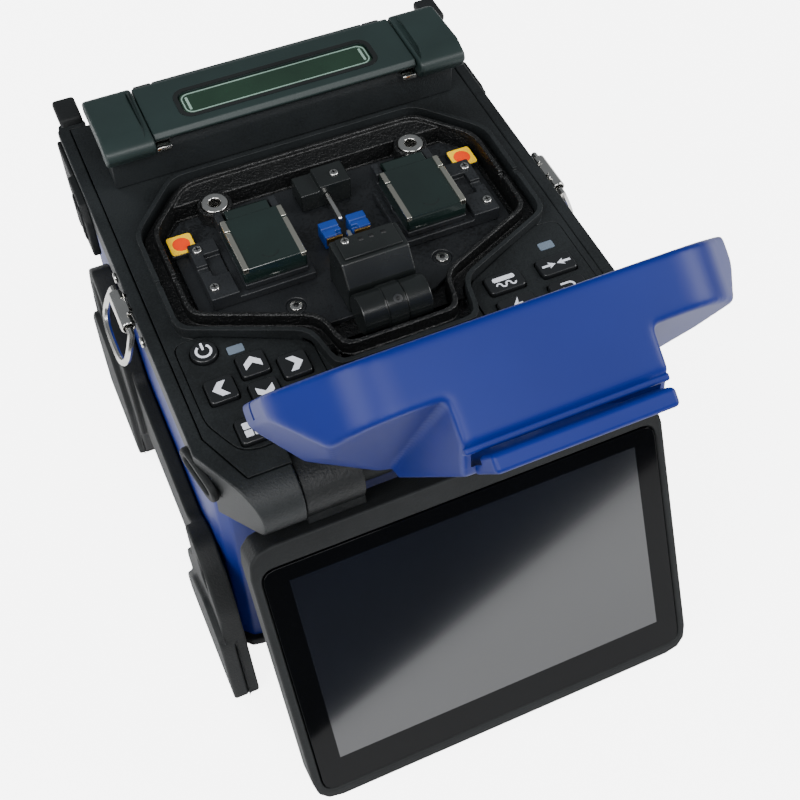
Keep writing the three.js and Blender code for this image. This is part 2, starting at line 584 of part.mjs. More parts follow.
// The hump's section along the middle: grooves and a bead at its rear edge.
function humpProfile(inset) {
  const rearY = chamber.rearY + cover.wall / 2 - inset;
  const { rearTop, top, railFoot } = cover;
  const base = [[-60, rimBottom - (inset ? 1 : 0)], [rearY, rimBottom - (inset ? 1 : 0)], [rearY, rearTop - inset]];
  const stack = inset
    ? [[rearY - 3, top - inset]]
    : [[rearY - 2.4, rearTop + 1], [rearY - 2.4, rearTop + 1.8], [rearY - 0.6, rearTop + 2], [rearY - 0.6, railFoot - 0.8],
      [rearY - 2, railFoot - 0.4], [rearY - 2, top - 0.6]];
  return [...base, ...stack, [-60, top - inset]];
}

// The lip that the operator's fingers lift.
function fingerRail() {
  const { railY, railHalf, railFoot, top } = cover;
  const profile = outline([
    [30, railFoot], [railY, railFoot], [railY, top - 1.6], [railY - 1.2, top - 0.4], [30, top],
  ]);
  return slab(profile, -railHalf, railHalf);
}

function windCover() {
  const { lugInX, lugOutX, lugRadius, axisY, axisZ, noseY } = cover;
  const shell = cut(coverShape(0), coverShape(cover.wall));
  const lugs = [-1, 1].map((sign) => join(
    rod('x', lugRadius, ...span(sign, lugInX, lugOutX), axisY, axisZ, 20),
    box(...span(sign, lugInX, lugOutX), axisY, noseY + 1.2, fibreZ + 2 * gap, axisZ + lugRadius)));
  const bore = rod('x', cover.pinRadius + runningGap, -lugOutX - 1, lugOutX + 1, axisY, axisZ, 20);
  const fibreNotch = box(-70, 70, -1.4, 1.4, rimBottom - 1, fibreZ + 1.6);
  return cut(join(shell, ...lugs), bore, fibreNotch);
}

// The pair of pegs under the cover's roof that press the fibre into the V-grooves.
function fibreClamp() {
  const roof = cover.top - cover.wall - gap;
  const bridge = box(-peg.x - 3, peg.x + 3, -2.5, 2.5, roof - 3, roof);
  return join(bridge, ...[-1, 1].map((side) => rod('z', peg.radius, peg.tip, roof - 1, side * peg.x, 0, 12)));
}

function swingOpen(mesh) {
  const hinge = new THREE.Matrix4().makeTranslation(0, cover.axisY, cover.axisZ);
  const turn = new THREE.Matrix4().makeRotationX(radians(cover.open));
  mesh.applyMatrix4(hinge.clone().multiply(turn).multiply(hinge.clone().invert()));
}

function addWindCover() {
  swingOpen(add('wind_cover', windCover(), blue));
  swingOpen(add('fibre_clamp', fibreClamp(), ceramic));
  add('wind_cover_pin', rod('x', cover.pinRadius, -cover.postOutX, cover.postOutX, cover.axisY, cover.axisZ, 20), steel);
}

// ---------------------------------------------------------------- screen, modelled upright about its pin
function screenHousing() {
  const { halfWidth, top, bottom, front, back, corner } = screen;
  const face = outline(rectangle(-halfWidth, halfWidth, bottom, top), corner);
  const bevel = 2.2;
  const geometry = new THREE.ExtrudeGeometry(face, {
    depth: back - front - bevel, bevelEnabled: true, bevelThickness: bevel, bevelSize: bevel, bevelOffset: -bevel,
    bevelSegments: 1, curveSegments: 3,
  });
  geometry.rotateX(Math.PI / 2);
  geometry.translate(0, back - bevel, 0);
  const block = toSolid(geometry).intersect(box(-halfWidth, halfWidth, front, back, bottom, top));
  const recess = glassOutline(gap, front - 1, front + screen.glassThick + gap);
  return cut(block, recess);
}

// The glass's outline between two depths, let out by a clearance.
function glassOutline(extra, y0, y1) {
  const { glassHalf, glassTop, glassBottom, glassCorner } = screen;
  const face = outline(rectangle(-glassHalf - extra, glassHalf + extra, glassBottom - extra, glassTop + extra), glassCorner);
  const geometry = new THREE.ExtrudeGeometry(face, { depth: y1 - y0, bevelEnabled: false, curveSegments: 3 });
  geometry.rotateX(Math.PI / 2);
  geometry.translate(0, y1, 0);
  return toSolid(geometry);
}

// The knuckle at each side of the screen's top, which turns on the pin between the arm and the sleeve.
function screenKnuckle() {
  const { hubInX, hubRadius, pinRadius, top, back, front } = screen;
  const hub = rod('x', hubRadius, hubInX, arm.innerX - gap, 0, 0, 28);
  const tongue = box(hubInX, arm.innerX - gap, front + 3, back - 1, top + gap, 0);
  const room = box(hubInX - 1, arm.innerX, -20, 20, top - 20, top + gap);
  return cut(join(hub, tongue), room, rod('x', pinRadius + runningGap, hubInX - 1, arm.innerX, 0, 0, 20));
}

function addScreen() {
  const group = new THREE.Group();
  group.position.set(0, arm.axisY, arm.axisZ);
  group.rotation.x = radians(-screen.tilt);
  splicer.add(group);
  const right = add('screen_knuckle_right', screenKnuckle(), rubberBlack);
  const left = add('screen_knuckle_left', screenKnuckle().mirror([1, 0, 0]), rubberBlack);
  const housing = add('screen_housing', screenHousing(), rubberBlack);
  const glass = add('screen_glass', glassOutline(0, screen.front, screen.front + screen.glassThick), glassBlack);
  group.add(right, left, housing, glass);
  const { pinRadius, pinEnd } = screen;
  add('screen_pin', rod('x', pinRadius, -pinEnd, pinEnd, arm.axisY, arm.axisZ, 20), steel);
}

// The fixed sleeve round the middle of the screen's pin, with its web back to the shell.
function hingeSleeve() {
  const { hubInX, pinRadius, sleeveRadius } = screen;
  const half = hubInX - gap;
  const { axisY, axisZ } = arm;
  const web = box(-half, half, axisY, body.frontY - gap, axisZ - sleeveRadius, axisZ - 1);
  const drum = rod('x', sleeveRadius, -half, half, axisY, axisZ, 24);
  return cut(join(drum, web), rod('x', pinRadius + gap + pinGrip, -half - 1, half + 1, axisY, axisZ, 20));
}

// ---------------------------------------------------------------- strap rings, battery and what is inside
function strapSleeve() {
  const { x, z, y, length, sleeve, wire } = dRing;
  const tube = rod('y', sleeve, y - length / 2 + 2.4, y + length / 2 - 2.4, x, z, 16);
  const tab = box(rail.outerX + gap, x, y - 3, y + 3, z - sleeve, z + sleeve);
  return cut(join(tube, tab), rod('y', wire + gap, y - length, y + length, x, z, 12));
}

// The D-shaped wire: a straight side through the sleeve and a bow that hangs below it, leaning outwards.
function strapRing() {
  const { x, z, y, length, drop } = dRing;
  const half = length / 2;
  const start = new THREE.Vector3(x, y - half, z);
  const end = new THREE.Vector3(x, y + half, z);
  const low = (u) => new THREE.Vector3(x, y + u * half, z - drop);
  const path = new THREE.CurvePath();
  path.add(new THREE.LineCurve3(start, end));
  path.add(new THREE.CubicBezierCurve3(end, low(1.5), low(0.7), low(0)));
  path.add(new THREE.CubicBezierCurve3(low(0), low(-0.7), low(-1.5), start));
  const loop = wireLoop(path.getSpacedPoints(30).slice(0, -1), dRing.wire, 8);
  return loop.translate([-x, 0, -z]).rotate([0, -dRing.lean, 0]).translate([x, 0, z]);
}

// A round wire bent into a closed loop through points that lie in one plane across X.
function wireLoop(points, radius, sides) {
  const count = points.length;
  const positions = points.flatMap((point, i) => {
    const along = points[(i + 1) % count].clone().sub(points[(i + count - 1) % count]).normalize();
    const out = new THREE.Vector3(0, along.z, -along.y);
    return Array.from({ length: sides }, (_, k) => {
      const turn = (k / sides) * 2 * Math.PI;
      return point.clone().addScaledVector(out, radius * Math.cos(turn)).setX(point.x + radius * Math.sin(turn)).toArray();
    }).flat();
  });
  const at = (i, k) => (i % count) * sides + (k % sides);
  const faces = points.flatMap((_, i) => Array.from({ length: sides }, (__, k) => [
    at(i, k), at(i + 1, k + 1), at(i, k + 1), at(i, k), at(i + 1, k), at(i + 1, k + 1),
  ]).flat());
  const geometry = new THREE.BufferGeometry();
  geometry.setAttribute('position', new THREE.Float32BufferAttribute(positions, 3));
  geometry.setIndex(faces);
  return toSolid(geometry);
}

function batteryPack() {
  const { halfX, height, depth, bottom } = battery;
  const top = bottom + height;
  const back = body.backY + 0.8;
  const pack = prism(outline(rectangle(-halfX, halfX, back - depth, back), 2), bottom, top);
  return cut(pack, box(-12, 12, back - 1.6, back + 1, top - 7, top - 2));
}

function mainBoard() {
  const { halfX, depth, thick, z } = board;
  const plate = box(-halfX, halfX, -depth / 2, depth / 2, z, z + thick);
  const chip = (x, y, size, high) => box(x - size / 2, x + size / 2, y - size / 2, y + size / 2, z + thick - 0.1, z + thick + high);
  return join(plate, chip(0, 5, 18, 1.6), chip(-28, -18, 12, 1.2), chip(26, 20, 10, 4), chip(30, -22, 8, 6));
}

function cameraModule() {
  const barrelTop = chamber.floorTop - chamber.floorThick - gap;
  return join(box(-9, 9, -9, 9, 74, 84), rod('z', 6, 83, barrelTop, 0, 0, 20));
}

function portPanel() {
  const back = body.backY;
  const plate = box(-30.6, 30.6, back - body.wall, back - gap, 62.4, 77.6);
  return cut(plate, box(-24, -11, back - 1.6, back, 66, 74), box(-4, 6, back - 1.6, back, 67, 73),
    rod('y', 3.2, back - 1.8, back, 18, 70, 16));
}

// ---------------------------------------------------------------- the whole machine
add('lower_shell', lowerShell(), blue);
add('base_plate', basePlate(), rubberBlack);
addPair('side_bumper', sideBumper, rubberBlack);
addPair('side_rail', sideRail, deckBlack);
add('top_deck', topDeck(), deckBlack);
addKeypads();

add('chamber_tray', chamberTray(), deckBlack);
add('stage_base', stageBase(), darkMetal);
addPair('ring_bushing', ringBushing, steel);
addPair('v_groove', vGrooveBlock, grooveBlue);
add('electrode_rear', electrodeRod(1), steel);
add('electrode_front', electrodeRod(-1), steel);
add('electrode_cap', electrodeCap(), smoothBlack);
add('lens_tower', lensTower(), smoothBlack);
add('lamp_barrel', lampBarrel(), smoothBlack);
addPair('fibre_stage', fibreStage, darkMetal);
addPair('holder_base', holderBase, darkMetal);
addPair('holder_lid', holderLid, smoothBlack);

add('heater_base', heaterBase(), deckBlack);
add('heater_trough', heaterTrough(), steel);
add('heater_lid', heaterCover(), lidGreen);
add('heater_window', heaterWindow(), windowGreen);
addPair('heater_wing', heaterWing, lidGreen);
add('heater_pin', rod('x', heater.pinRadius, -41.8, 41.8, heater.pinY, heater.pinZ, 12), steel);

addWindCover();
addScreen();
add('hinge_sleeve', hingeSleeve(), rubberBlack);

addPair('strap_sleeve', strapSleeve, steel);
addPair('strap_ring', strapRing, steel);
add('battery', batteryPack(), rubberBlack);
add('main_board', mainBoard(), circuitGreen);
add('camera_module', cameraModule(), darkMetal);
add('port_panel', portPanel(), deckBlack);

export default splicer;
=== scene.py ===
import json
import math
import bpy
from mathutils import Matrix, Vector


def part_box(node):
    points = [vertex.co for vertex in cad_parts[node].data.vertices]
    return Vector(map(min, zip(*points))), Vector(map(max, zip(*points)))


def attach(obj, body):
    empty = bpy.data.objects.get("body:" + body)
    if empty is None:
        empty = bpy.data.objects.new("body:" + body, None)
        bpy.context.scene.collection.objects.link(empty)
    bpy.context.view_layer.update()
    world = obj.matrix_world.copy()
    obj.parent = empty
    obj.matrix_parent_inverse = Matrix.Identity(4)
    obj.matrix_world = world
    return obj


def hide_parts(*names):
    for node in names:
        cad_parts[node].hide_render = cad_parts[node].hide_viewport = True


bl_info = {
    "name": "Fibre Fusion Splicer",
    "version": (1, 0, 0),
    "blender": (4, 5, 0),
    "location": "3D View > Sidebar > Splicer",
    "description": "Finishes a fibre fusion splicer: its plastics, keys, lamps, labels, screws and display",
    "category": "Object",
}

import bmesh
import bpy
from mathutils import Matrix, Vector

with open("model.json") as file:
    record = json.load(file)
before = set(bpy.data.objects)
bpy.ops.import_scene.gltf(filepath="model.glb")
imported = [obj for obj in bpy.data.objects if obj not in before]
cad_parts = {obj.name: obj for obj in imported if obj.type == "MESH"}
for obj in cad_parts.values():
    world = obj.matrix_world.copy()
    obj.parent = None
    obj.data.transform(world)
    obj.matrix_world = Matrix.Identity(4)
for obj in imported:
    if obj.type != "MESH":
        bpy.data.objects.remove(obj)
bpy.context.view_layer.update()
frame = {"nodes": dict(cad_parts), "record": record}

MM = 0.001
OPEN_ANGLE = math.radians(125)
SCREEN_TILT = math.radians(-28.2)
SCREEN_PIN = Vector((0, -0.0705, 0.103))
COVER_PIN = Vector((0, -0.055, 0.118))
COVER_RIM = 0.1152
COVER_NOSE = (0.0195, -0.0455)
COVER_REAR = 0.0385
COVER_GROWTH = 0.0009
SHARP_EDGE = math.radians(32)
CREASE = math.radians(38)
MERGE = 1e-7
OVERLAP = 0.0001


# ---------------------------------------------------------------- settings
def length(name, description, default):
    return bpy.props.FloatProperty(
        name=name, description=description, default=default, min=0, unit="LENGTH", precision=5
    )


def colour(name, description, default):
    return bpy.props.FloatVectorProperty(
        name=name, description=description, default=default, min=0, max=1, size=3, subtype="COLOR"
    )


class SplicerSizes(bpy.types.PropertyGroup):
    edge: length("Edge rounding", "Rounding of most moulded edges", 0.0004)
    mark: length("Print thickness", "How far the printed marks stand above the keys", 0.00006)
    screw: length("Screw head radius", "Radius of the small cross-head screws", 0.0015)
    label: length("Label side", "Side of the square warning pads", 0.0076)
    strip: length("Strip width", "Width of the metal strips on the holder lids", 0.0017)
    lamp: length("Lamp width", "Width of each status lamp's window", 0.0048)
    cover_wall: length("Cover wall", "Thickness of the wind cover's wall", 0.0018)
    cover_round: length("Cover rounding", "Rounding of the wind cover's outer edges", 0.0016)


class SplicerColours(bpy.types.PropertyGroup):
    blue: colour("Blue plastic", "Wind cover and shell", (0.0006, 0.0095, 0.135))
    deck: colour("Deck", "Textured deck and rails", (0.0085, 0.0102, 0.011))
    rubber: colour("Rubber", "Side frames, base and screen housing", (0.0085, 0.0095, 0.01))
    lid: colour("Heater lid", "Heater lid and wings", (0.011, 0.0205, 0.0195))
    mark: colour("Printed marks", "Symbols printed on the keys", (0.74, 0.76, 0.83))
    label: colour("Label yellow", "Warning pads", (1.0, 0.6, 0.0))
    disc: colour("Label orange", "Disc on the warning pads", (0.9, 0.05, 0.0))


def sizes():
    return bpy.context.scene.splicer_sizes


def colours():
    return bpy.context.scene.splicer_colours


# ---------------------------------------------------------------- materials
def link(material, source, output, target, socket):
    material.node_tree.links.new(source.outputs[output], target.inputs[socket])


def new_node(material, kind, **values):
    node = material.node_tree.nodes.new(kind)
    for socket, value in values.items():
        node.inputs[socket.replace("_", " ")].default_value = value
    return node


def finish_material(
    name, tone, roughness, metallic=0.0, grain=1800.0, relief=0.00003, spread=0.25, coat=0.0,
    rough_spread=0.06, stretch=(1, 1, 1), specular=0.5, speckle=0.0,
):
    """A surface with fine grain in its relief and slow drift in its tone and its gloss."""
    if name in bpy.data.materials:
        return bpy.data.materials[name]
    material = bpy.data.materials.new(name)
    material.use_nodes = True
    shader = material.node_tree.nodes["Principled BSDF"]
    shader.inputs["Metallic"].default_value = metallic
    shader.inputs["Coat Weight"].default_value = coat
    shader.inputs["Coat Roughness"].default_value = 0.06
    shader.inputs["Specular IOR Level"].default_value = specular
    place = new_node(material, "ShaderNodeTexCoord")
    mapping = new_node(material, "ShaderNodeMapping", Scale=stretch)
    link(material, place, "Object", mapping, "Vector")
    fine = new_node(material, "ShaderNodeTexNoise", Scale=grain, Detail=3.0, Roughness=0.6)
    slow = new_node(material, "ShaderNodeTexNoise", Scale=38.0, Detail=4.0, Roughness=0.55)
    link(material, mapping, "Vector", fine, "Vector")
    link(material, mapping, "Vector", slow, "Vector")
    shade = new_node(material, "ShaderNodeValToRGB")
    low, high = shade.color_ramp.elements
    low.position, high.position = 0.3, 0.7
    low.color = (*[c * (1 - spread) for c in tone], 1)
    high.color = (*[min(1, c * (1 + spread)) for c in tone], 1)
    mottle = new_node(material, "ShaderNodeMath")
    mottle.operation = "MULTIPLY_ADD"
    mottle.inputs[1].default_value = speckle
    link(material, fine, "Fac", mottle, 0)
    link(material, slow, "Fac", mottle, 2)
    low.position, high.position = 0.3 + speckle / 2, 0.7 + speckle / 2
    link(material, mottle, "Value", shade, "Fac")
    link(material, shade, "Color", shader, "Base Color")
    gloss = new_node(material, "ShaderNodeMapRange")
    gloss.inputs["To Min"].default_value = max(0.02, roughness - rough_spread)
    gloss.inputs["To Max"].default_value = roughness + rough_spread
    link(material, slow, "Fac", gloss, "Value")
    link(material, gloss, "Result", shader, "Roughness")
    bump = new_node(material, "ShaderNodeBump", Strength=0.9, Distance=relief)
    link(material, fine, "Fac", bump, "Height")
    link(material, bump, "Normal", shader, "Normal")
    return material


def blue_plastic():
    return finish_material(
        "Glossy blue plastic", colours().blue, 0.42, grain=900, relief=0.000004, spread=0.05,
        rough_spread=0.03, specular=0.26,
    )


def deck_plastic():
    return finish_material(
        "Textured deck plastic", colours().deck, 0.5, grain=1700, relief=0.00016, spread=0.35,
        specular=0.36, speckle=0.8,
    )


def tray_plastic():
    return finish_material(
        "Coarse chamber plastic", colours().deck, 0.42, grain=1100, relief=0.0007, spread=0.8,
        specular=0.6, speckle=2.0,
    )


def rubber():
    return finish_material(
        "Black elastomer", colours().rubber, 0.6, grain=1300, relief=0.00015, spread=0.3, specular=0.24,
    )


def sparkle_rubber():
    return finish_material(
        "Coarse-grained black plastic", colours().rubber, 0.5, grain=1100, relief=0.0003, spread=0.4,
        specular=0.3,
    )


def smooth_black():
    return finish_material(
        "Smooth black plastic", (0.008, 0.0095, 0.0095), 0.26, grain=1200, relief=0.000008, spread=0.3,
    )


def key_plastic():
    return finish_material(
        "Key plastic", (0.009, 0.01, 0.011), 0.34, grain=2600, relief=0.00001, spread=0.2, coat=0.2,
    )


def machined_black():
    return finish_material(
        "Black anodised metal", (0.008, 0.009, 0.0102), 0.4, grain=1500, relief=0.00012, spread=0.5,
        speckle=1.2,
    )


def polished_steel():
    return finish_material(
        "Polished steel", (0.72, 0.71, 0.68), 0.2, metallic=1.0, grain=900, relief=0.000006, spread=0.06,
        stretch=(1, 6, 1),
    )


def strip_metal():
    return finish_material(
        "Satin metal strip", (0.78, 0.76, 0.66), 0.26, metallic=1.0, grain=1400, relief=0.000012, spread=0.08,
        stretch=(1, 0.2, 1),
    )


def lid_plastic():
    return finish_material(
        "Dark green-black lid", colours().lid, 0.46, grain=2400, relief=0.00004, spread=0.12,
    )


def holder_plastic():
    return finish_material(
        "Glossy holder lid", (0.006, 0.0125, 0.011), 0.16, grain=700, relief=0.000006, spread=0.2, coat=0.6,
    )


def groove_blue():
    return finish_material(
        "Blue groove block", (0.004, 0.032, 0.2), 0.38, grain=1500, relief=0.00001, spread=0.12, coat=0.2,
    )


def brass():
    return finish_material(
        "Worn brass edge", (0.42, 0.26, 0.09), 0.3, metallic=1.0, grain=1300, relief=0.00001, spread=0.25,
    )


def ceramic():
    return finish_material(
        "Pale ceramic", (0.52, 0.54, 0.56), 0.35, grain=1500, relief=0.00001, spread=0.08,
    )


def circuit():
    return finish_material(
        "Solder mask", (0.012, 0.09, 0.035), 0.4, grain=900, relief=0.00003, spread=0.3,
    )


def mark_paint():
    return finish_material(
        "Pale key print", colours().mark, 0.5, grain=3000, relief=0.000005, spread=0.04,
    )


def label_paint():
    return finish_material("Yellow label", colours().label, 0.4, grain=1500, relief=0.000008, spread=0.06)


def disc_paint():
    return finish_material("Orange print", colours().disc, 0.42, grain=1500, relief=0.000008, spread=0.1)


def lamp_plastic():
    return finish_material(
        "Smoked lamp window", (0.12, 0.155, 0.2), 0.22, grain=1800, relief=0.00001, spread=0.15, coat=0.3,
    )


# Pale colour for the window's clear edge, which also paints the highlight lines along its rim and at its
# ends.
def clear_edge_and_painted_highlight():
    return finish_material(
        "Clear window edge with painted highlight", (0.2, 0.3, 0.25), 0.15, grain=900, relief=0.00001, spread=0.2, coat=0.5,
    )


def display_glass():
    return finish_material(
        "Black display glass", (0.0016, 0.0018, 0.0022), 0.06, grain=300, relief=0.0000008, spread=0.1,
        rough_spread=0.01, specular=0.14,
    )


def display_panel():
    return finish_material(
        "Dark display panel", (0.0022, 0.0032, 0.0062), 0.1, grain=300, relief=0.0000008, spread=0.12,
        rough_spread=0.01, specular=0.9, coat=0.5,
    )


# Near-black colour laid on screw crosses, hex sockets, tower ports and the boss hole floor: painted shade
# standing in for the shadow inside those recesses.
def painted_recess_shade():
    return finish_material("Painted recess shade", (0.004, 0.0045, 0.005), 0.6, grain=2000, relief=0.00002, spread=0.2)


def window_green():
    """Clear dark green plastic that shows what lies under it."""
    name = "Clear green window"
    if name in bpy.data.materials:
        return bpy.data.materials[name]
    material = finish_material(
        name, (0.02, 0.06, 0.034), 0.06, grain=260, relief=0.000003, spread=0.25, coat=0.4, rough_spread=0.02,
    )
    material.node_tree.nodes["Principled BSDF"].inputs["Transmission Weight"].default_value = 0.6
    return material


MATERIAL_OF_SLOT = {
    "blue_shell": blue_plastic,
    "deck_black": deck_plastic,
    "black_rubber": rubber,
    "smooth_black": smooth_black,
    "key_black": key_plastic,
    "machined_black": machined_black,
    "steel": polished_steel,
    "blue_ceramic": groove_blue,
    "ceramic": ceramic,
    "lid_green": lid_plastic,
    "window_green": window_green,
    "screen_glass": display_glass,
    "circuit_green": circuit,
}
MATERIAL_OF_NODE = {
    "chamber_tray": tray_plastic,
    "holder_lid_left": holder_plastic,
    "holder_lid_right": holder_plastic,
    "screen_knuckle_left": sparkle_rubber,
    "screen_knuckle_right": sparkle_rubber,
}
ROUNDING = {
    "lower_shell": 1.6, "base_plate": 1.2, "side_bumper_left": 2.2, "side_bumper_right": 2.2,
    "side_rail_left": 1.4, "side_rail_right": 1.4, "screen_housing": 2.2, "screen_knuckle_left": 1.2,
    "screen_knuckle_right": 1.2, "heater_lid": 1.4, "heater_wing_left": 2.6, "heater_wing_right": 2.6,
    "lens_tower": 1.6, "electrode_cap": 1.3, "holder_lid_left": 1.2, "holder_lid_right": 1.2,
    "strap_ring_left": 0, "strap_ring_right": 0, "electrode_front": 0, "electrode_rear": 0,
    "top_deck": 0.35, "keypad_left": 0.35, "keypad_right": 0.35,
    "ring_bushing_left": 0.9, "ring_bushing_right": 0.9, "screen_glass": 0.5, "main_board": 0.4,
}


# ---------------------------------------------------------------- shared modelling
def smooth_by_angle():
    """Geometry nodes that shade smooth, but keep edges sharper than a set angle."""
    name = "Smooth by angle"
    if name in bpy.data.node_groups:
        return bpy.data.node_groups[name]
    group = bpy.data.node_groups.new(name, "GeometryNodeTree")
    group.interface.new_socket("Geometry", in_out="INPUT", socket_type="NodeSocketGeometry")
    group.interface.new_socket("Geometry", in_out="OUTPUT", socket_type="NodeSocketGeometry")
    start = group.nodes.new("NodeGroupInput")
    end = group.nodes.new("NodeGroupOutput")
    angle = group.nodes.new("GeometryNodeInputMeshEdgeAngle")
    compare = group.nodes.new("FunctionNodeCompare")
    compare.operation = "LESS_THAN"
    compare.inputs["B"].default_value = CREASE
    faces = group.nodes.new("GeometryNodeSetShadeSmooth")
    edges = group.nodes.new("GeometryNodeSetShadeSmooth")
    faces.domain, edges.domain = "FACE", "EDGE"
    group.links.new(start.outputs[0], faces.inputs["Geometry"])
    group.links.new(faces.outputs[0], edges.inputs["Geometry"])
    group.links.new(angle.outputs["Unsigned Angle"], compare.inputs["A"])
    group.links.new(compare.outputs["Result"], edges.inputs["Shade Smooth"])
    group.links.new(edges.outputs[0], end.inputs[0])
    return group


def soften(obj, width, segments=3, weld=True):
    """Rounds the sharp edges of a piece and shades it smooth."""
    if weld:
        merge = obj.modifiers.new("Merge corners", "WELD")
        merge.merge_threshold = 0.000005
        flat = obj.modifiers.new("Merge flat faces", "DECIMATE")
        flat.decimate_type = "DISSOLVE"
        flat.angle_limit = math.radians(0.8)
    if width > 0:
        bevel = obj.modifiers.new("Round edges", "BEVEL")
        bevel.width = width
        bevel.segments = segments
        bevel.limit_method = "ANGLE"
        bevel.angle_limit = SHARP_EDGE
        bevel.use_clamp_overlap = False
        bevel.miter_outer = "MITER_ARC"
    shade = obj.modifiers.new("Shade", "NODES")
    shade.node_group = smooth_by_angle()
    weight = obj.modifiers.new("Weigh normals", "WEIGHTED_NORMAL")
    weight.keep_sharp = True
    weight.weight = 60


def new_piece(name, bm, material, body, extra_materials=()):
    """A finished object from a bmesh, riding on a body of the machine."""
    mesh = bpy.data.meshes.new(name)
    bm.normal_update()
    bm.to_mesh(mesh)
    bm.free()
    obj = bpy.data.objects.new(name, mesh)
    bpy.context.scene.collection.objects.link(obj)
    for each in (material, *extra_materials):
        mesh.materials.append(each)
    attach(obj, body)
    return obj


def faces_of(verts):
    return list({face for vert in verts for face in vert.link_faces})


def add_box(bm, low, high, bevel=0.0, segments=2, material=0):
    """A box between two corners, with rounded edges if a bevel is given."""
    made = bmesh.ops.create_cube(bm, size=1.0)["verts"]
    low, high = Vector(low), Vector(high)
    bmesh.ops.scale(bm, vec=high - low, verts=made)
    bmesh.ops.translate(bm, vec=(low + high) / 2, verts=made)
    faces = faces_of(made)
    if bevel > 0:
        edges = list({edge for vert in made for edge in vert.link_edges})
        done = bmesh.ops.bevel(
            bm, geom=made + edges, offset=bevel, segments=segments, profile=0.5, affect="EDGES", material=-1
        )
        faces = list({f for v in done["verts"] for f in v.link_faces} | {f for f in faces if f.is_valid})
    for face in faces:
        face.material_index = material
        face.smooth = True


def add_disc(bm, centre, radius, height, bevel=0.0, sides=28, axis=(0, 0, 1), material=0):
    """A round head or washer that stands on its centre point along an axis."""
    turn = Vector((0, 0, 1)).rotation_difference(Vector(axis)).to_matrix().to_4x4()
    place = Matrix.Translation(Vector(centre)) @ turn @ Matrix.Translation((0, 0, height / 2))
    made = bmesh.ops.create_cone(
        bm, cap_ends=True, segments=sides, radius1=radius, radius2=radius, depth=height, matrix=place
    )["verts"]
    up = Vector(axis).normalized()
    if bevel > 0:
        top = max(v.co.dot(up) for v in made)
        rim = [e for v in made for e in v.link_edges if all(abs(w.co.dot(up) - top) < MERGE for w in e.verts)]
        done = bmesh.ops.bevel(
            bm, geom=list(set(rim)), offset=bevel, segments=3, profile=0.5, affect="EDGES", material=-1
        )
        made = [v for v in made if v.is_valid] + done["verts"]
    for face in faces_of(made):
        face.material_index = material
        face.smooth = True


def add_plate(bm, corners, low, high, material=0):
    """A flat plate with the given outline between two heights."""
    verts = [bm.verts.new((x, y, low)) for x, y in corners]
    face = bm.faces.new(verts)
    bm.normal_update()
    grown_up = bmesh.ops.extrude_face_region(bm, geom=[face])["geom"]
    raised = [g for g in grown_up if isinstance(g, bmesh.types.BMVert)]
    bmesh.ops.translate(bm, vec=(0, 0, high - low), verts=raised)
    made = faces_of(verts + raised)
    bmesh.ops.recalc_face_normals(bm, faces=made)
    for each in made:
        each.material_index = material
    return made


def add_band(bm, centre, inner, outer, start, sweep, low, high, steps=20):
    """Part of a flat ring, swept round its centre."""
    corners = [(inner, low), (outer, low), (outer, high), (inner, high)]
    turn = Matrix.Rotation(start, 4, "Z")
    middle = Vector((centre[0], centre[1], 0))
    verts = [bm.verts.new(middle + turn @ Vector((r, 0, z))) for r, z in corners]
    face = bm.faces.new(verts)
    full = abs(sweep) >= 2 * math.pi - 1e-6
    before = set(bm.faces)
    geometry = [face, *face.edges, *face.verts]
    if full:
        bmesh.ops.spin(
            bm, geom=[*face.edges, *face.verts], cent=middle, axis=(0, 0, 1), angle=2 * math.pi, steps=steps,
            use_merge=True,
        )
        bmesh.ops.delete(bm, geom=[face], context="FACES_ONLY")
    else:
        bmesh.ops.spin(bm, geom=geometry, cent=middle, axis=(0, 0, 1), angle=sweep, steps=steps)
    made = [f for f in bm.faces if f not in before]
    if not full:
        made.append(face)
    bmesh.ops.recalc_face_normals(bm, faces=[f for f in made if f.is_valid])


def add_frame(bm, outer, inner, low, high, place=None, material=0):
    """A raised rim between two outlines of as many corners."""
    rings = [[bm.verts.new((x, y, low)) for x, y in ring] for ring in (outer, inner)]
    loops = [bm.edges.new((ring[i], ring[i - 1])) for ring in rings for i in range(len(ring))]
    flat = bmesh.ops.bridge_loops(bm, edges=loops)["faces"]
    grown_up = bmesh.ops.extrude_face_region(bm, geom=flat)["geom"]
    raised = [g for g in grown_up if isinstance(g, bmesh.types.BMVert)]
    bmesh.ops.translate(bm, vec=(0, 0, high - low), verts=raised)
    made = rings[0] + rings[1] + raised
    bmesh.ops.recalc_face_normals(bm, faces=faces_of(made))
    for face in faces_of(made):
        face.material_index = material
    if place:
        bmesh.ops.transform(bm, matrix=place, verts=made)
    return made


def add_slab(bm, corners, x0, x1, material=0):
    """A plate whose outline is drawn from the side, between two distances across."""
    made = add_plate(bm, corners, x0, x1, material)
    verts = list({v for face in made for v in face.verts})
    stand = Matrix(((0, 0, 1, 0), (1, 0, 0, 0), (0, 1, 0, 0), (0, 0, 0, 1)))
    bmesh.ops.transform(bm, matrix=stand, verts=verts)
    return verts


def rounded_rectangle(half_x, half_y, radius, steps=5):
    corners = []
    for cx, cy, start in ((1, 1, 0), (-1, 1, 90), (-1, -1, 180), (1, -1, 270)):
        for i in range(steps + 1):
            angle = math.radians(start + 90 * i / steps)
            corners.append((
                cx * (half_x - radius) + radius * math.cos(angle),
                cy * (half_y - radius) + radius * math.sin(angle),
            ))
    return corners


def moved(corners, x, y, turn=0.0, scale=1.0):
    c, s = math.cos(turn) * scale, math.sin(turn) * scale
    return [(x + c * px - s * py, y + s * px + c * py) for px, py in corners]


def turn_piece(obj, pin, angle):
    """Swings a piece's mesh about a pin along X."""
    obj.data.transform(Matrix.Translation(pin) @ Matrix.Rotation(angle, 4, "X") @ Matrix.Translation(-pin))
    return obj


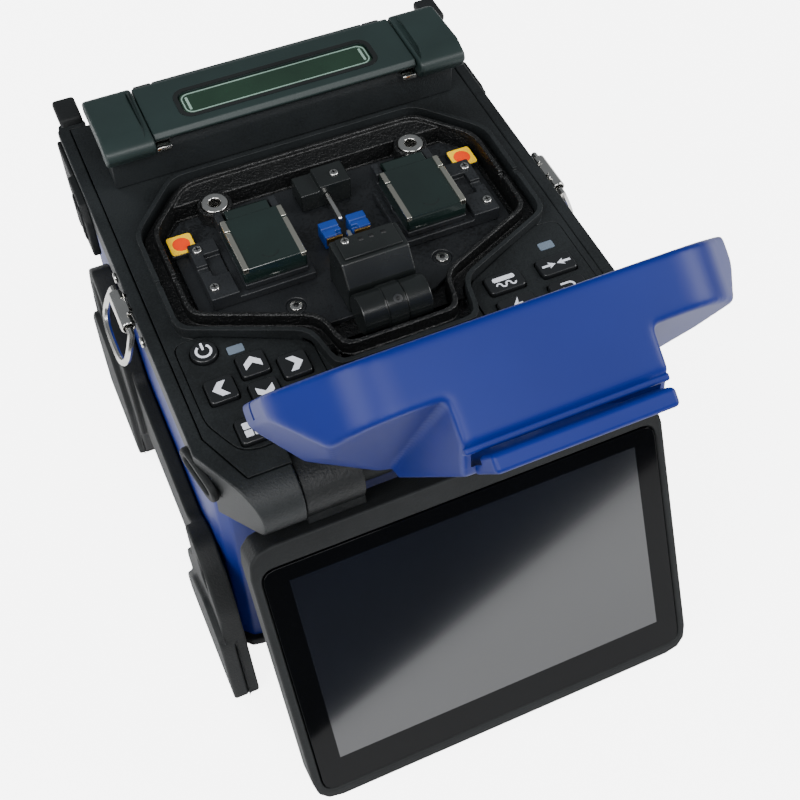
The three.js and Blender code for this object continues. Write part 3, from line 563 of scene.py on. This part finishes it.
# ---------------------------------------------------------------- wind cover
def grown(corners, distance):
    """The corners, which run anticlockwise, moved outwards by a distance."""
    count = len(corners)
    out = []
    for i, corner in enumerate(corners):
        here = Vector(corner)
        before = (here - Vector(corners[i - 1])).normalized()
        after = (Vector(corners[(i + 1) % count]) - here).normalized()
        n0, n1 = Vector((before.y, -before.x)), Vector((after.y, -after.x))
        out.append(here + (n0 + n1) * (distance / (1 + n0.dot(n1))))
    return out


def rounded(corners, radii, steps=7):
    """The corners, each rounded off by its own radius."""
    out = []
    for i, radius in enumerate(radii):
        here, before, after = (Vector(corners[j % len(corners)]) for j in (i, i - 1, i + 1))
        start = here + (before - here).normalized() * radius
        end = here + (after - here).normalized() * radius
        for k in range(steps + 1 if radius > 0 else 1):
            t = k / steps
            out.append((start * (1 - t) + here * t) * (1 - t) + (here * (1 - t) + end * t) * t)
    return out


def mirrored(half):
    return [*half, *[(-x, y) for x, y in reversed(half)]]


def sliced(bm, point, normal):
    """Keeps what lies below a plane, and closes the cut."""
    geometry = [*bm.verts, *bm.edges, *bm.faces]
    cut = bmesh.ops.bisect_plane(
        bm, geom=geometry, plane_co=point, plane_no=normal, clear_outer=True, dist=MERGE
    )
    edges = [g for g in cut["geom_cut"] if isinstance(g, bmesh.types.BMEdge)]
    bmesh.ops.holes_fill(bm, edges=edges)


def cover_walls(inset, bottom):
    """The low wings: the chamber's outline up to tops that fall away to the sides and the rear."""
    side = [COVER_NOSE, (0.022, -0.0315), (0.0555, -0.0165), (0.0555, 0.021), (0.04, COVER_REAR)]
    radii = [0.003, 0.004, 0.004, 0.0045, 0.008]
    uncut_top, rear_edge = 0.146, 0.1285
    ridge_out, ridge_top = 0.0455, 0.133
    rear_fall, inner_fall, outer_fall = 0.2, 0.49, 1.14
    corners = grown(mirrored(side), COVER_GROWTH - inset)
    bm = bmesh.new()
    add_plate(bm, rounded(corners, [*radii, *reversed(radii)]), bottom, uncut_top)
    sliced(bm, (0, COVER_REAR + COVER_GROWTH, rear_edge - inset), (0, rear_fall, 1))
    for way in (-1, 1):
        for fall in (inner_fall, outer_fall):
            sliced(bm, (way * ridge_out, 0, ridge_top - inset), (way * fall, 0, 1))
    return bm


def cover_hump(inset, bottom):
    """The tall middle, which narrows to a nose in front."""
    half_width, top = 0.0231, 0.1453
    side = [COVER_NOSE, (0.0222, -0.0305), (half_width, -0.026), (half_width, COVER_REAR)]
    radii = [0.003, 0.002, 0.002, 0.0012]
    nose_edge, nose_slope = Vector((0, -0.028, 0.1455)), Vector((0, -0.017, 0.0184)).normalized()
    rear_edge, rear_fall = 0.1383, 0.9
    corners = grown(mirrored(side), COVER_GROWTH - inset)
    bm = bmesh.new()
    add_plate(bm, rounded(corners, [*radii, *reversed(radii)]), bottom, top - inset)
    sliced(bm, nose_edge - nose_slope * inset, nose_slope)
    if inset == 0:
        sliced(bm, (0, COVER_REAR + COVER_GROWTH, rear_edge), (0, rear_fall, 1))
    return bm


def cover_lug(side):
    """One of the two arms that reach down to the hinge pin."""
    inside, outside, radius = 0.014, 0.0196, 0.0036
    web_low, web_high, web_end = 0.1186, 0.1216, -0.0452
    x0, x1 = sorted((side * inside, side * outside))
    bm = bmesh.new()
    add_disc(bm, (x0, COVER_PIN.y, COVER_PIN.z), radius, x1 - x0, axis=(1, 0, 0), sides=40)
    add_box(bm, (x0, COVER_PIN.y, web_low), (x1, web_end, web_high), 0.0005)
    return bm


def cover_bar(half_width, rear, low, high, bevel):
    """A bar across the hump's rear: the lip that fingers lift, or the bead below it."""
    bm = bmesh.new()
    add_box(bm, (-half_width, 0.030, low), (half_width, rear, high), bevel, 4)
    return bm


def operand(bm):
    mesh = bpy.data.meshes.new("Operand")
    bm.to_mesh(mesh)
    bm.free()
    obj = bpy.data.objects.new("Operand", mesh)
    bpy.context.scene.collection.objects.link(obj)
    return obj


def combined(base, others, operation):
    """Joins or cuts a solid with others, and leaves only the result."""
    for other in others:
        step = base.modifiers.new("Combine", "BOOLEAN")
        step.operation = operation
        step.solver = "EXACT"
        step.object = other
    baked(base)
    for other in others:
        bpy.data.objects.remove(other)
    return base


def baked(obj):
    """Turns an object's modifiers into plain mesh."""
    graph = bpy.context.evaluated_depsgraph_get()
    mesh = bpy.data.meshes.new_from_object(obj.evaluated_get(graph))
    obj.modifiers.clear()
    obj.data = mesh
    return obj


class SPLICER_OT_wind_cover(bpy.types.Operator):
    """Moulds the blue wind cover with soft blends between its hump and its wings"""

    bl_idname = "splicer.wind_cover"
    bl_label = "Mould wind cover"

    def execute(self, context):
        wall = sizes().cover_wall
        shell = operand(cover_walls(0, COVER_RIM))
        lugs = [operand(cover_lug(side)) for side in (-1, 1)]
        combined(shell, [operand(cover_hump(0, COVER_RIM)), *lugs], "UNION")
        remesh = shell.modifiers.new("Even mesh", "REMESH")
        remesh.mode = "VOXEL"
        remesh.voxel_size = 0.00055
        steps_per_metre = 15000
        blend = shell.modifiers.new("Blend", "SMOOTH")
        blend.factor = 0.5
        blend.iterations = int(sizes().cover_round * steps_per_metre)
        baked(shell)
        lip = cover_bar(0.021, 0.0453, 0.1415, 0.1458, 0.0011)
        bead = cover_bar(0.0238, 0.0386, 0.1389, 0.1407, 0.0006)
        combined(shell, [operand(lip), operand(bead)], "UNION")
        below = COVER_RIM - 0.004
        room = combined(operand(cover_walls(wall, below)), [operand(cover_hump(wall, below))], "UNION")
        bore_radius, slot_half, slot_top = 0.0019, 0.0014, 0.1196
        bore, slot = bmesh.new(), bmesh.new()
        add_disc(bore, (-0.03, COVER_PIN.y, COVER_PIN.z), bore_radius, 0.06, axis=(1, 0, 0), sides=40)
        add_box(slot, (-0.07, -slot_half, COVER_RIM - 0.001), (0.07, slot_half, slot_top))
        combined(shell, [room, operand(bore), operand(slot)], "DIFFERENCE")
        bm = bmesh.new()
        bm.from_mesh(shell.data)
        bpy.data.objects.remove(shell)
        bmesh.ops.remove_doubles(bm, verts=list(bm.verts), dist=MERGE)
        flat = math.radians(0.25)
        bmesh.ops.dissolve_limit(bm, angle_limit=flat, verts=list(bm.verts), edges=list(bm.edges))
        bmesh.ops.recalc_face_normals(bm, faces=list(bm.faces))
        cover = new_piece("wind_cover_shell", bm, blue_plastic(), "cover")
        turn_piece(cover, COVER_PIN, OPEN_ANGLE)
        soften(cover, 0, weld=False)
        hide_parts("wind_cover")
        return {"FINISHED"}


# ---------------------------------------------------------------- operators
class SPLICER_OT_moulded_parts(bpy.types.Operator):
    """Gives every part of the frame its finish and its rounded edges"""

    bl_idname = "splicer.moulded_parts"
    bl_label = "Finish moulded parts"

    def execute(self, context):
        slots = {part["node"]: part["material_slot"] for part in frame["record"]["subparts"]}
        for name, obj in frame["nodes"].items():
            make = MATERIAL_OF_NODE.get(name) or MATERIAL_OF_SLOT[slots[name]]
            obj.data.materials.clear()
            obj.data.materials.append(make())
            soften(obj, sizes().edge * ROUNDING.get(name, 1.0 if not name.startswith("key_") else 1.3))
        return {"FINISHED"}


class SPLICER_OT_key_marks(bpy.types.Operator):
    """Prints the symbols on the keys"""

    bl_idname = "splicer.key_marks"
    bl_label = "Print key symbols"

    def execute(self, context):
        for name, draw in KEY_MARKS.items():
            low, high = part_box(name)
            middle = (low + high) / 2
            bm = bmesh.new()
            draw(bm, middle.x, middle.y, high.z - 0.00002, high.z + sizes().mark)
            new_piece(name + "_symbol", bm, mark_paint(), name + "_cap")
        return {"FINISHED"}


def chevron(turn):
    shape = [(-2.5, -1.9), (0, 0.1), (2.5, -1.9), (2.5, 0.35), (0, 2.5), (-2.5, 0.35)]

    def draw(bm, x, y, low, high):
        add_plate(bm, moved(shape, x, y, math.radians(turn), MM), low, high)

    return draw


def power_mark(bm, x, y, low, high):
    add_band(bm, (x, y), 1.75 * MM, 2.45 * MM, math.radians(125), math.radians(290), low, high, 28)
    add_plate(bm, moved(rounded_rectangle(0.36, 1.3, 0.3), x, y + 1.75 * MM, 0, MM), low, high)


def menu_mark(bm, x, y, low, high):
    for dx in (-1.3, 1.3):
        for dy in (-1.3, 1.3):
            add_plate(bm, moved(rounded_rectangle(1.1, 1.1, 0.2), x + dx * MM, y + dy * MM, 0, MM), low, high)


def splice_mark(bm, x, y, low, high):
    arrow = [(0.25, 0), (2.5, 1.25), (2.0, 0.38), (4.6, 0.38), (4.6, -0.38), (2.0, -0.38), (2.5, -1.25)]
    for turn in (0, math.pi):
        add_plate(bm, moved(arrow, x, y, turn, MM), low, high)


def heat_mark(bm, x, y, low, high):
    add_plate(bm, moved(rounded_rectangle(3.5, 0.8, 0.6), x, y + 1.1 * MM, 0, MM), low, high)
    for i in range(4):
        start = 180 if i % 2 else 0
        centre = (x + (i - 1.5) * 1.5 * MM, y - 1.2 * MM)
        add_band(bm, centre, 0.5 * MM, 1.0 * MM, math.radians(start), math.pi, low, high, 10)


def reset_mark(bm, x, y, low, high):
    bend = (x + 0.6 * MM, y + 0.35 * MM)
    add_band(bm, bend, 0.95 * MM, 1.6 * MM, math.radians(-90), math.pi, low, high, 14)
    for dy in (1.62, -0.93):
        add_plate(bm, moved(rounded_rectangle(1.35, 0.33, 0.1), x - 0.7 * MM, y + dy * MM, 0, MM), low, high)
    head = [(-3.4, -0.93), (-1.7, 0.25), (-1.7, -2.1)]
    add_plate(bm, moved(head, x, y, 0, MM), low, high)


def arc_mark(bm, x, y, low, high):
    bolt = [(0.9, 2.7), (-1.7, -0.35), (-0.2, -0.35), (-0.9, -2.7), (1.7, 0.45), (0.25, 0.45)]
    add_plate(bm, moved(bolt, x, y, 0, MM), low, high)


KEY_MARKS = {
    "key_power": power_mark,
    "key_up": chevron(0),
    "key_right": chevron(-90),
    "key_left": chevron(90),
    "key_down": chevron(180),
    "key_menu": menu_mark,
    "key_splice": splice_mark,
    "key_heat": heat_mark,
    "key_reset": reset_mark,
    "key_arc": arc_mark,
}


class SPLICER_OT_lamps(bpy.types.Operator):
    """Sets a smoked window for the status lamp in each keypad"""

    bl_idname = "splicer.lamps"
    bl_label = "Set status lamps"

    def execute(self, context):
        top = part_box("keypad_left")[1].z
        half = sizes().lamp / 2
        shape = rounded_rectangle(half, half * 0.6, half * 0.18)
        for name, x, y in (("left_status_lamp", -0.0452, -0.029), ("right_status_lamp", 0.0532, -0.0293)):
            bm = bmesh.new()
            add_plate(bm, moved(shape, x, y), top - OVERLAP, top + 0.00025)
            window = new_piece(name, bm, lamp_plastic(), "machine")
            soften(window, 0.0001, 2, weld=False)
        return {"FINISHED"}


class SPLICER_OT_labels(bpy.types.Operator):
    """Lays the plain yellow pads with an orange disc on their blocks beside the fibre holders"""

    bl_idname = "splicer.labels"
    bl_label = "Lay warning pads"

    def execute(self, context):
        out, y, block_height = 0.0466, 0.0152, 0.0016
        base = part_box("stage_base")[1].z
        top = base + block_height
        half = sizes().label / 2
        for side, name in ((-1, "left_warning_pad"), (1, "right_warning_pad")):
            x = side * out
            bm = bmesh.new()
            low = (x - half - 0.0003, y - half - 0.0001, base)
            high = (x + half + 0.0003, y + half + 0.0004, top)
            add_box(bm, low, high, 0.0003, 2)
            label = rounded_rectangle(half, half, half * 0.25)
            add_plate(bm, moved(label, x, y), top + 0.00001, top + 0.0002, material=1)
            disc = rounded_rectangle(half * 0.7, half * 0.7, half * 0.69, 8)
            add_plate(bm, moved(disc, x, y), top + 0.0002, top + 0.00025, material=2)
            new_piece(name, bm, machined_black(), "machine", [label_paint(), disc_paint()])
        return {"FINISHED"}


def cross_head(bm, x, y, z, radius):
    """A cross-head screw that sits on a face at height z; its cross is not cut but painted as dark shade on a
    thin raised box.
    """
    add_disc(bm, (x, y, z), radius, radius * 0.42, bevel=radius * 0.28, sides=24)
    top = z + radius * 0.42
    # The cross takes the second material, the near-black painted recess shade.
    for half in ((0.62, 0.16), (0.16, 0.62)):
        low = (x - half[0] * radius, y - half[1] * radius, top - 0.0001)
        high = (x + half[0] * radius, y + half[1] * radius, top + 0.00002)
        add_box(bm, low, high, material=1)


def socket_head(bm, x, y, z, radius):
    """A washer and a low round head with a hexagon socket, which is not cut but painted as shade on a thin
    dark disc.
    """
    add_disc(bm, (x, y, z), radius, radius * 0.16, bevel=radius * 0.08, sides=32, material=2)
    add_disc(bm, (x, y, z + radius * 0.16), radius * 0.68, radius * 0.2, bevel=radius * 0.1, sides=32)
    add_disc(bm, (x, y, z + radius * 0.355), radius * 0.32, radius * 0.02, sides=6, material=1)


class SPLICER_OT_screws(bpy.types.Operator):
    """Drives the visible screws into the chamber's parts"""

    bl_idname = "splicer.screws"
    bl_label = "Drive screws"

    def execute(self, context):
        radius = sizes().screw
        stage_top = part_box("fibre_stage_left")[1].z
        for side, word in ((-1, "left"), (1, "right")):
            bm = bmesh.new()
            for y in (0.0077, -0.0082):
                cross_head(bm, side * 0.0437, y, stage_top, radius)
            new_piece(f"stage_screws_{word}", bm, polished_steel(), "stage_" + word, [painted_recess_shade()])
        bm = bmesh.new()
        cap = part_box("electrode_cap")[1]
        cross_head(bm, 0.0042, 0.0182, cap.z, radius * 0.95)
        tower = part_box("lens_tower")[1]
        cross_head(bm, -0.0063, -0.0168, tower.z + 0.0006, radius * 0.85)
        outward = (0, -0.5, 0.87)
        add_disc(
            bm, (0.0005, -0.0386, 0.1247), 0.0014, 0.0004, bevel=0.0002, sides=24, axis=outward, material=2
        )
        # This hex socket is a thin disc in the near-black material: painted shade, not a cut.
        add_disc(bm, (0.0005, -0.03878, 0.12506), 0.0007, 0.0001, sides=6, axis=outward, material=1)
        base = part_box("stage_base")[1]
        for side in (-1, 1):
            socket_head(bm, side * 0.0234, -0.0197, base.z - 0.0008, 0.0029)
            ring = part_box("ring_bushing_right")
            # The bushing's hex socket is a thin disc in the near-black material: painted shade, not a cut.
            add_disc(bm, (side * 0.0326, 0.0241, ring[1].z - 0.0036), 0.0018, 0.0002, sides=6, material=1)
            for y in (-0.0128, 0.0142):
                add_disc(
                    bm, (side * 0.0677, y, 0.1105), 0.0016, 0.0009, bevel=0.0004, sides=20, axis=(side, 0, 0)
                )
        others = [painted_recess_shade(), machined_black()]
        new_piece("chamber_screws", bm, polished_steel(), "machine", others)
        return {"FINISHED"}


class SPLICER_OT_holder_trim(bpy.types.Operator):
    """Fits the metal strips and the thumb mark to the two holder lids"""

    bl_idname = "splicer.holder_trim"
    bl_label = "Trim holder lids"

    def execute(self, context):
        width = sizes().strip
        for side, word in ((-1, "left"), (1, "right")):
            low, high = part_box("holder_lid_" + word)
            outer = max(abs(low.x), abs(high.x))
            inner = min(abs(low.x), abs(high.x))
            bm = bmesh.new()
            for edge, lift in ((outer - width - 0.0001, 0.0006), (inner + 0.0001, 0.0002)):
                x0, x1 = sorted((side * edge, side * (edge + width)))
                for y0, y1 in ((low.y + 0.0006, low.y + 0.0163), (low.y + 0.0168, low.y + 0.0216)):
                    add_box(bm, (x0, y0, high.z - 0.0016), (x1, y1, high.z + lift), 0.0003, 3)
            new_piece(f"holder_strips_{word}", bm, strip_metal(), "clamp_" + word)
            bm = bmesh.new()
            middle = side * (outer + inner) / 2
            add_band(
                bm, (middle, low.y + 0.0058), 0.0026, 0.0028, math.radians(-160), math.radians(140),
                high.z - 0.00002, high.z + 0.00005, 18,
            )
            new_piece(f"thumb_mark_{word}", bm, smooth_black(), "clamp_" + word)
        return {"FINISHED"}


class SPLICER_OT_chamber_trim(bpy.types.Operator):
    """Adds the brass edges, the tower's cap plate and its small ports"""

    bl_idname = "splicer.chamber_trim"
    bl_label = "Trim the chamber"

    def execute(self, context):
        bm = bmesh.new()
        for side in (-1, 1):
            low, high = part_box("v_groove_right")
            x0, x1 = sorted((side * (low.x + 0.0004), side * (high.x - 0.0004)))
            edge_low = (x0, low.y - 0.0005, high.z - 0.0034)
            edge_high = (x1, low.y + 0.0002, high.z - 0.0006)
            add_box(bm, edge_low, edge_high, 0.0001, 2)
        new_piece("groove_block_edges", bm, brass(), "machine")
        low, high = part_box("lens_tower")
        bm = bmesh.new()
        top, port_half = high.z, 0.0007
        plate_low = (low.x + 0.0016, low.y + 0.0058, top - OVERLAP)
        plate_high = (high.x - 0.0016, high.y - 0.0012, top + 0.0007)
        add_box(bm, plate_low, plate_high, 0.0003, 3)
        # The ports are not cut: small boxes in the near-black second material paint the shade inside them.
        for x in (-0.0018, 0.0014, 0.0052):
            port_low = (x - port_half, high.y - 0.0044, top + 0.0006)
            port_high = (x + port_half, high.y - 0.003, top + 0.00075)
            add_box(bm, port_low, port_high, material=1)
        new_piece("tower_cap_plate", bm, smooth_black(), "machine", [painted_recess_shade()])
        return {"FINISHED"}


class SPLICER_OT_heater_trim(bpy.types.Operator):
    """Fits the metal catches under the heater lid's wings and the gasket round its window"""

    bl_idname = "splicer.heater_trim"
    bl_label = "Trim the heater"

    def execute(self, context):
        low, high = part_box("heater_base")
        bm = bmesh.new()
        for side in (-1, 1):
            x0, x1 = sorted((side * 0.0385, side * 0.0432))
            add_box(bm, (x0, 0.0428, 0.1268), (x1, low.y - 0.0001, 0.1284), 0.0002, 2)
        new_piece("heater_catches", bm, polished_steel(), "machine")
        window_low, window_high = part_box("heater_window")
        lid_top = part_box("heater_lid")[1].z
        centre = (window_low + window_high) / 2
        half = (window_high - window_low) / 2

        def round_window(growth, radius):
            return moved(rounded_rectangle(half.x + growth, half.y + growth, radius, 7), centre.x, centre.y)

        bm = bmesh.new()
        outer, inner = round_window(0.0016, 0.0042), round_window(0.0001, 0.0028)
        add_frame(bm, outer, inner, lid_top - OVERLAP, lid_top + 0.0002)
        gasket = new_piece("window_gasket", bm, smooth_black(), "heater_door")
        soften(gasket, 0.00012, 2, weld=False)
        # A thin pale frame round the window is its clear glass edge, with the highlight along it painted in
        # pale colour; the two bars at the ends are painted highlight lines.
        bm = bmesh.new()
        outer, inner = round_window(-0.0007, 0.0026), round_window(-0.0011, 0.0023)
        add_frame(bm, outer, inner, window_high.z - OVERLAP, window_high.z + 0.00012)
        for way in (-1, 1):
            highlight_bar = rounded_rectangle(0.0004, half.y - 0.0022, 0.0003)
            highlight_bar = moved(highlight_bar, way * (half.x - 0.0024), centre.y)
            add_plate(bm, highlight_bar, window_high.z - OVERLAP, window_high.z + 0.0001)
        new_piece("window_edge_highlight_lines", bm, clear_edge_and_painted_highlight(), "heater_door")
        bm = bmesh.new()
        for side in (-1, 1):
            x0, x1 = sorted((side * (half.x - 0.0028), side * (half.x - 0.0014)))
            clip_low = (x0, window_low.y + 0.0014, window_low.z - 0.0014)
            clip_high = (x1, window_high.y - 0.0014, window_low.z - 0.0002)
            add_box(bm, clip_low, clip_high, 0.0002, 2)
        new_piece("window_end_clips", bm, polished_steel(), "heater_door")
        return {"FINISHED"}


class SPLICER_OT_side_trim(bpy.types.Operator):
    """Fits the bosses on the arms, the guards and pads at the rear and the collars round the bushings"""

    bl_idname = "splicer.side_trim"
    bl_label = "Trim the sides"

    def execute(self, context):
        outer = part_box("side_rail_right")[1].x
        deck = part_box("top_deck")[1].z
        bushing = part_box("ring_bushing_right")
        centre, radius = (bushing[0] + bushing[1]) / 2, (bushing[1].x - bushing[0].x) / 2
        for side, word in ((-1, "left"), (1, "right")):
            bm = bmesh.new()
            place = (
                Matrix.Translation((side * (outer - 0.0016), -0.0583, 0.1052))
                @ Matrix.Rotation(side * math.radians(-13), 4, "Z")
                @ Matrix.Rotation(math.radians(16), 4, "X")
                @ Matrix(((0, 0, side, 0), (1, 0, 0, 0), (0, 1, 0, 0), (0, 0, 0, 1)))
            )
            rim = rounded_rectangle(0.0088, 0.0044, 0.0043, 8)
            hole = rounded_rectangle(0.0062, 0.0021, 0.002, 8)
            add_frame(bm, rim, hole, 0.0, 0.0022, place)
            # The face closing the boss's hole takes the near-black second material: painted shade inside the
            # hole.
            floor = [Vector((x, y, 0)) for x, y in rim]
            face = bm.faces.new([bm.verts.new(place @ (co + Vector((0, 0, 0.0003)))) for co in floor])
            face.material_index = 1
            bmesh.ops.recalc_face_normals(bm, faces=list(bm.faces))
            boss = new_piece(f"arm_boss_{word}", bm, rubber(), "machine", [painted_recess_shade()])
            soften(boss, 0.0007, 3, weld=False)
            bm = bmesh.new()
            x0, x1 = outer - 0.0002, outer + 0.0024
            low, top, seam = 0.09, 0.1115, 0.061
            front = [(0.043, 0.092), (seam, low), (seam, top), (0.047, top), (0.043, 0.107)]
            add_slab(bm, front, side * x0, side * x1)
            rear = [(seam + 0.0002, low), (0.0785, low), (0.0785, top), (seam + 0.0002, top)]
            add_slab(bm, rear, side * x0, side * (x1 - 0.0011))
            for y in (0.0475, 0.0535):
                rib = moved(rounded_rectangle(0.002, 0.006, 0.0009), y, 0.1035)
                add_slab(bm, rib, side * (x1 - 0.0002), side * (x1 + 0.0007))
            bmesh.ops.recalc_face_normals(bm, faces=list(bm.faces))
            guard = new_piece(f"rear_guard_{word}", bm, rubber(), "machine")
            soften(guard, 0.0007, 3, weld=False)
            bm = bmesh.new()
            x0, x1 = sorted((side * 0.0595, side * (outer - 0.0008)))
            add_box(bm, (x0, 0.0712, deck - 0.0002), (x1, 0.0822, deck + 0.0031), 0.0011, 3)
            new_piece(f"rear_pad_{word}", bm, rubber(), "machine")
            bm = bmesh.new()
            add_band(bm, (side * centre.x, centre.y), radius + 0.0001, radius + 0.0012, 0, 2 * math.pi,
                     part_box("stage_base")[1].z, bushing[1].z - 0.0006, 40)
            collar = new_piece(f"bushing_collar_{word}", bm, tray_plastic(), "machine")
            soften(collar, 0.0003, 2, weld=False)
        return {"FINISHED"}


class SPLICER_OT_display(bpy.types.Operator):
    """Lays the active panel into the screen's glass"""

    bl_idname = "splicer.display"
    bl_label = "Lay the display panel"

    def execute(self, context):
        bm = bmesh.new()
        half_width, low, high, front = 0.054, -0.0881, -0.0233, -0.00805
        corners = [(-half_width, low), (half_width, low), (half_width, high), (-half_width, high)]
        face = bm.faces.new([bm.verts.new((x, front, z)) for x, z in corners])
        bm.normal_update()
        if face.normal.y > 0:
            face.normal_flip()
        bmesh.ops.solidify(bm, geom=[face], thickness=0.00004)
        bmesh.ops.recalc_face_normals(bm, faces=list(bm.faces))
        bmesh.ops.translate(bm, vec=SCREEN_PIN, verts=list(bm.verts))
        panel = new_piece("display_panel", bm, display_panel(), "screen")
        turn_piece(panel, SCREEN_PIN, SCREEN_TILT)
        return {"FINISHED"}


def studio_sheet(name, corners, height, material):
    bm = bmesh.new()
    face = bm.faces.new([bm.verts.new((x, y, height)) for x, y in corners])
    bm.normal_update()
    if face.normal.z < 0:
        face.normal_flip()
    mesh = bpy.data.meshes.new(name)
    bm.to_mesh(mesh)
    bm.free()
    sheet = bpy.data.objects.new(name, mesh)
    bpy.context.scene.collection.objects.link(sheet)
    mesh.materials.append(material)
    return sheet


def softbox(name, place, size, power, mirrored_in_gloss=True):
    light = bpy.data.lights.new(name, "AREA")
    light.size = size
    light.energy = power
    lamp = bpy.data.objects.new(name, light)
    bpy.context.scene.collection.objects.link(lamp)
    lamp.location = place
    lamp.visible_glossy = mirrored_in_gloss
    lamp.rotation_euler = (Vector((0, -0.02, 0.09)) - Vector(place)).to_track_quat("-Z", "Y").to_euler()


class SPLICER_OT_studio(bpy.types.Operator):
    """Sets the pale floor, the soft lights, the dark mat that the screen mirrors, and the camera"""

    bl_idname = "splicer.studio"
    bl_label = "Set the studio"

    def execute(self, context):
        white = finish_material(
            "Studio white", (0.9, 0.9, 0.9), 0.8, grain=40, relief=0.0, spread=0.01, specular=0.1
        )
        shader = white.node_tree.nodes["Principled BSDF"]
        shader.inputs["Emission Color"].default_value = (1, 1, 1, 1)
        path = white.node_tree.nodes.new("ShaderNodeLightPath")
        glow = white.node_tree.nodes.new("ShaderNodeMath")
        glow.operation = "MULTIPLY_ADD"
        seen_glow, lighting_glow = 5.0, 0.3
        glow.inputs[1].default_value, glow.inputs[2].default_value = seen_glow, lighting_glow
        link(white, path, "Is Camera Ray", glow, 0)
        link(white, glow, "Value", shader, "Emission Strength")
        reach = 6
        floor = [(-reach, -reach), (reach, -reach), (reach, reach), (-reach, reach)]
        studio_sheet("Studio floor", floor, -0.0002, white)
        dark = finish_material("Dark mat", (0.004, 0.0043, 0.005), 0.8, grain=40, relief=0.0, spread=0.05)
        near, far, left, right = -0.25, -4, -2.5, 0.6
        slanted_edge = [(-0.07, near), (0.032, -0.367), (0.233, -0.606), (right, -1.04)]
        outline = [*slanted_edge, (right, far), (left, far), (left, near)]
        mat = studio_sheet("Dark mat", outline, 0.002, dark)
        mat.visible_camera = mat.visible_diffuse = mat.visible_shadow = False
        world = bpy.data.worlds.new("Studio")
        world.use_nodes = True
        background = world.node_tree.nodes["Background"]
        background.inputs["Color"].default_value = (0.9, 0.95, 1.0, 1)
        background.inputs["Strength"].default_value = 0.22
        context.scene.world = world
        softbox("Left softbox", (-0.95, -0.55, 0.95), 0.8, 17.0)
        softbox("Right softbox", (0.95, -0.45, 0.75), 0.6, 12.0)
        softbox("Rear softbox", (-0.65, 0.85, 0.9), 0.7, 12.0, mirrored_in_gloss=False)
        softbox("Front softbox", (-0.05, -0.85, 0.95), 0.5, 8.0)
        lens = bpy.data.cameras.new("Camera")
        lens.lens = 56.57
        lens.sensor_width = 36
        lens.clip_start = 0.01
        camera = bpy.data.objects.new("Camera", lens)
        context.scene.collection.objects.link(camera)
        azimuth, elevation = math.radians(-24.0), math.radians(53.75)
        level = math.cos(elevation)
        back = Vector((math.sin(azimuth) * level, -math.cos(azimuth) * level, math.sin(elevation)))
        camera.location = (-0.0926, -0.2492, 0.3909)
        camera.rotation_euler = (-back).to_track_quat("-Z", "Y").to_euler()
        context.scene.camera = camera
        return {"FINISHED"}


OPERATORS = (
    SPLICER_OT_moulded_parts,
    SPLICER_OT_wind_cover,
    SPLICER_OT_key_marks,
    SPLICER_OT_lamps,
    SPLICER_OT_labels,
    SPLICER_OT_screws,
    SPLICER_OT_holder_trim,
    SPLICER_OT_chamber_trim,
    SPLICER_OT_heater_trim,
    SPLICER_OT_side_trim,
    SPLICER_OT_display,
    SPLICER_OT_studio,
)


class SPLICER_PT_panel(bpy.types.Panel):
    """Lists the steps that finish the splicer"""

    bl_idname = "SPLICER_PT_panel"
    bl_label = "Fusion splicer"
    bl_space_type = "VIEW_3D"
    bl_region_type = "UI"
    bl_category = "Splicer"

    def draw(self, context):
        for group in (context.scene.splicer_sizes, context.scene.splicer_colours):
            for name in group.bl_rna.properties.keys():
                if name not in {"rna_type", "name"}:
                    self.layout.prop(group, name)
        for operator in OPERATORS:
            self.layout.operator(operator.bl_idname)


CLASSES = (SplicerSizes, SplicerColours, *OPERATORS, SPLICER_PT_panel)


def register():
    for each in CLASSES:
        bpy.utils.register_class(each)
    bpy.types.Scene.splicer_sizes = bpy.props.PointerProperty(type=SplicerSizes)
    bpy.types.Scene.splicer_colours = bpy.props.PointerProperty(type=SplicerColours)


def unregister():
    del bpy.types.Scene.splicer_colours
    del bpy.types.Scene.splicer_sizes
    for each in reversed(CLASSES):
        bpy.utils.unregister_class(each)


def main():
    register()
    for operator in OPERATORS:
        group, name = operator.bl_idname.split(".")
        getattr(getattr(bpy.ops, group), name)()


if __name__ == "__main__":
    main()
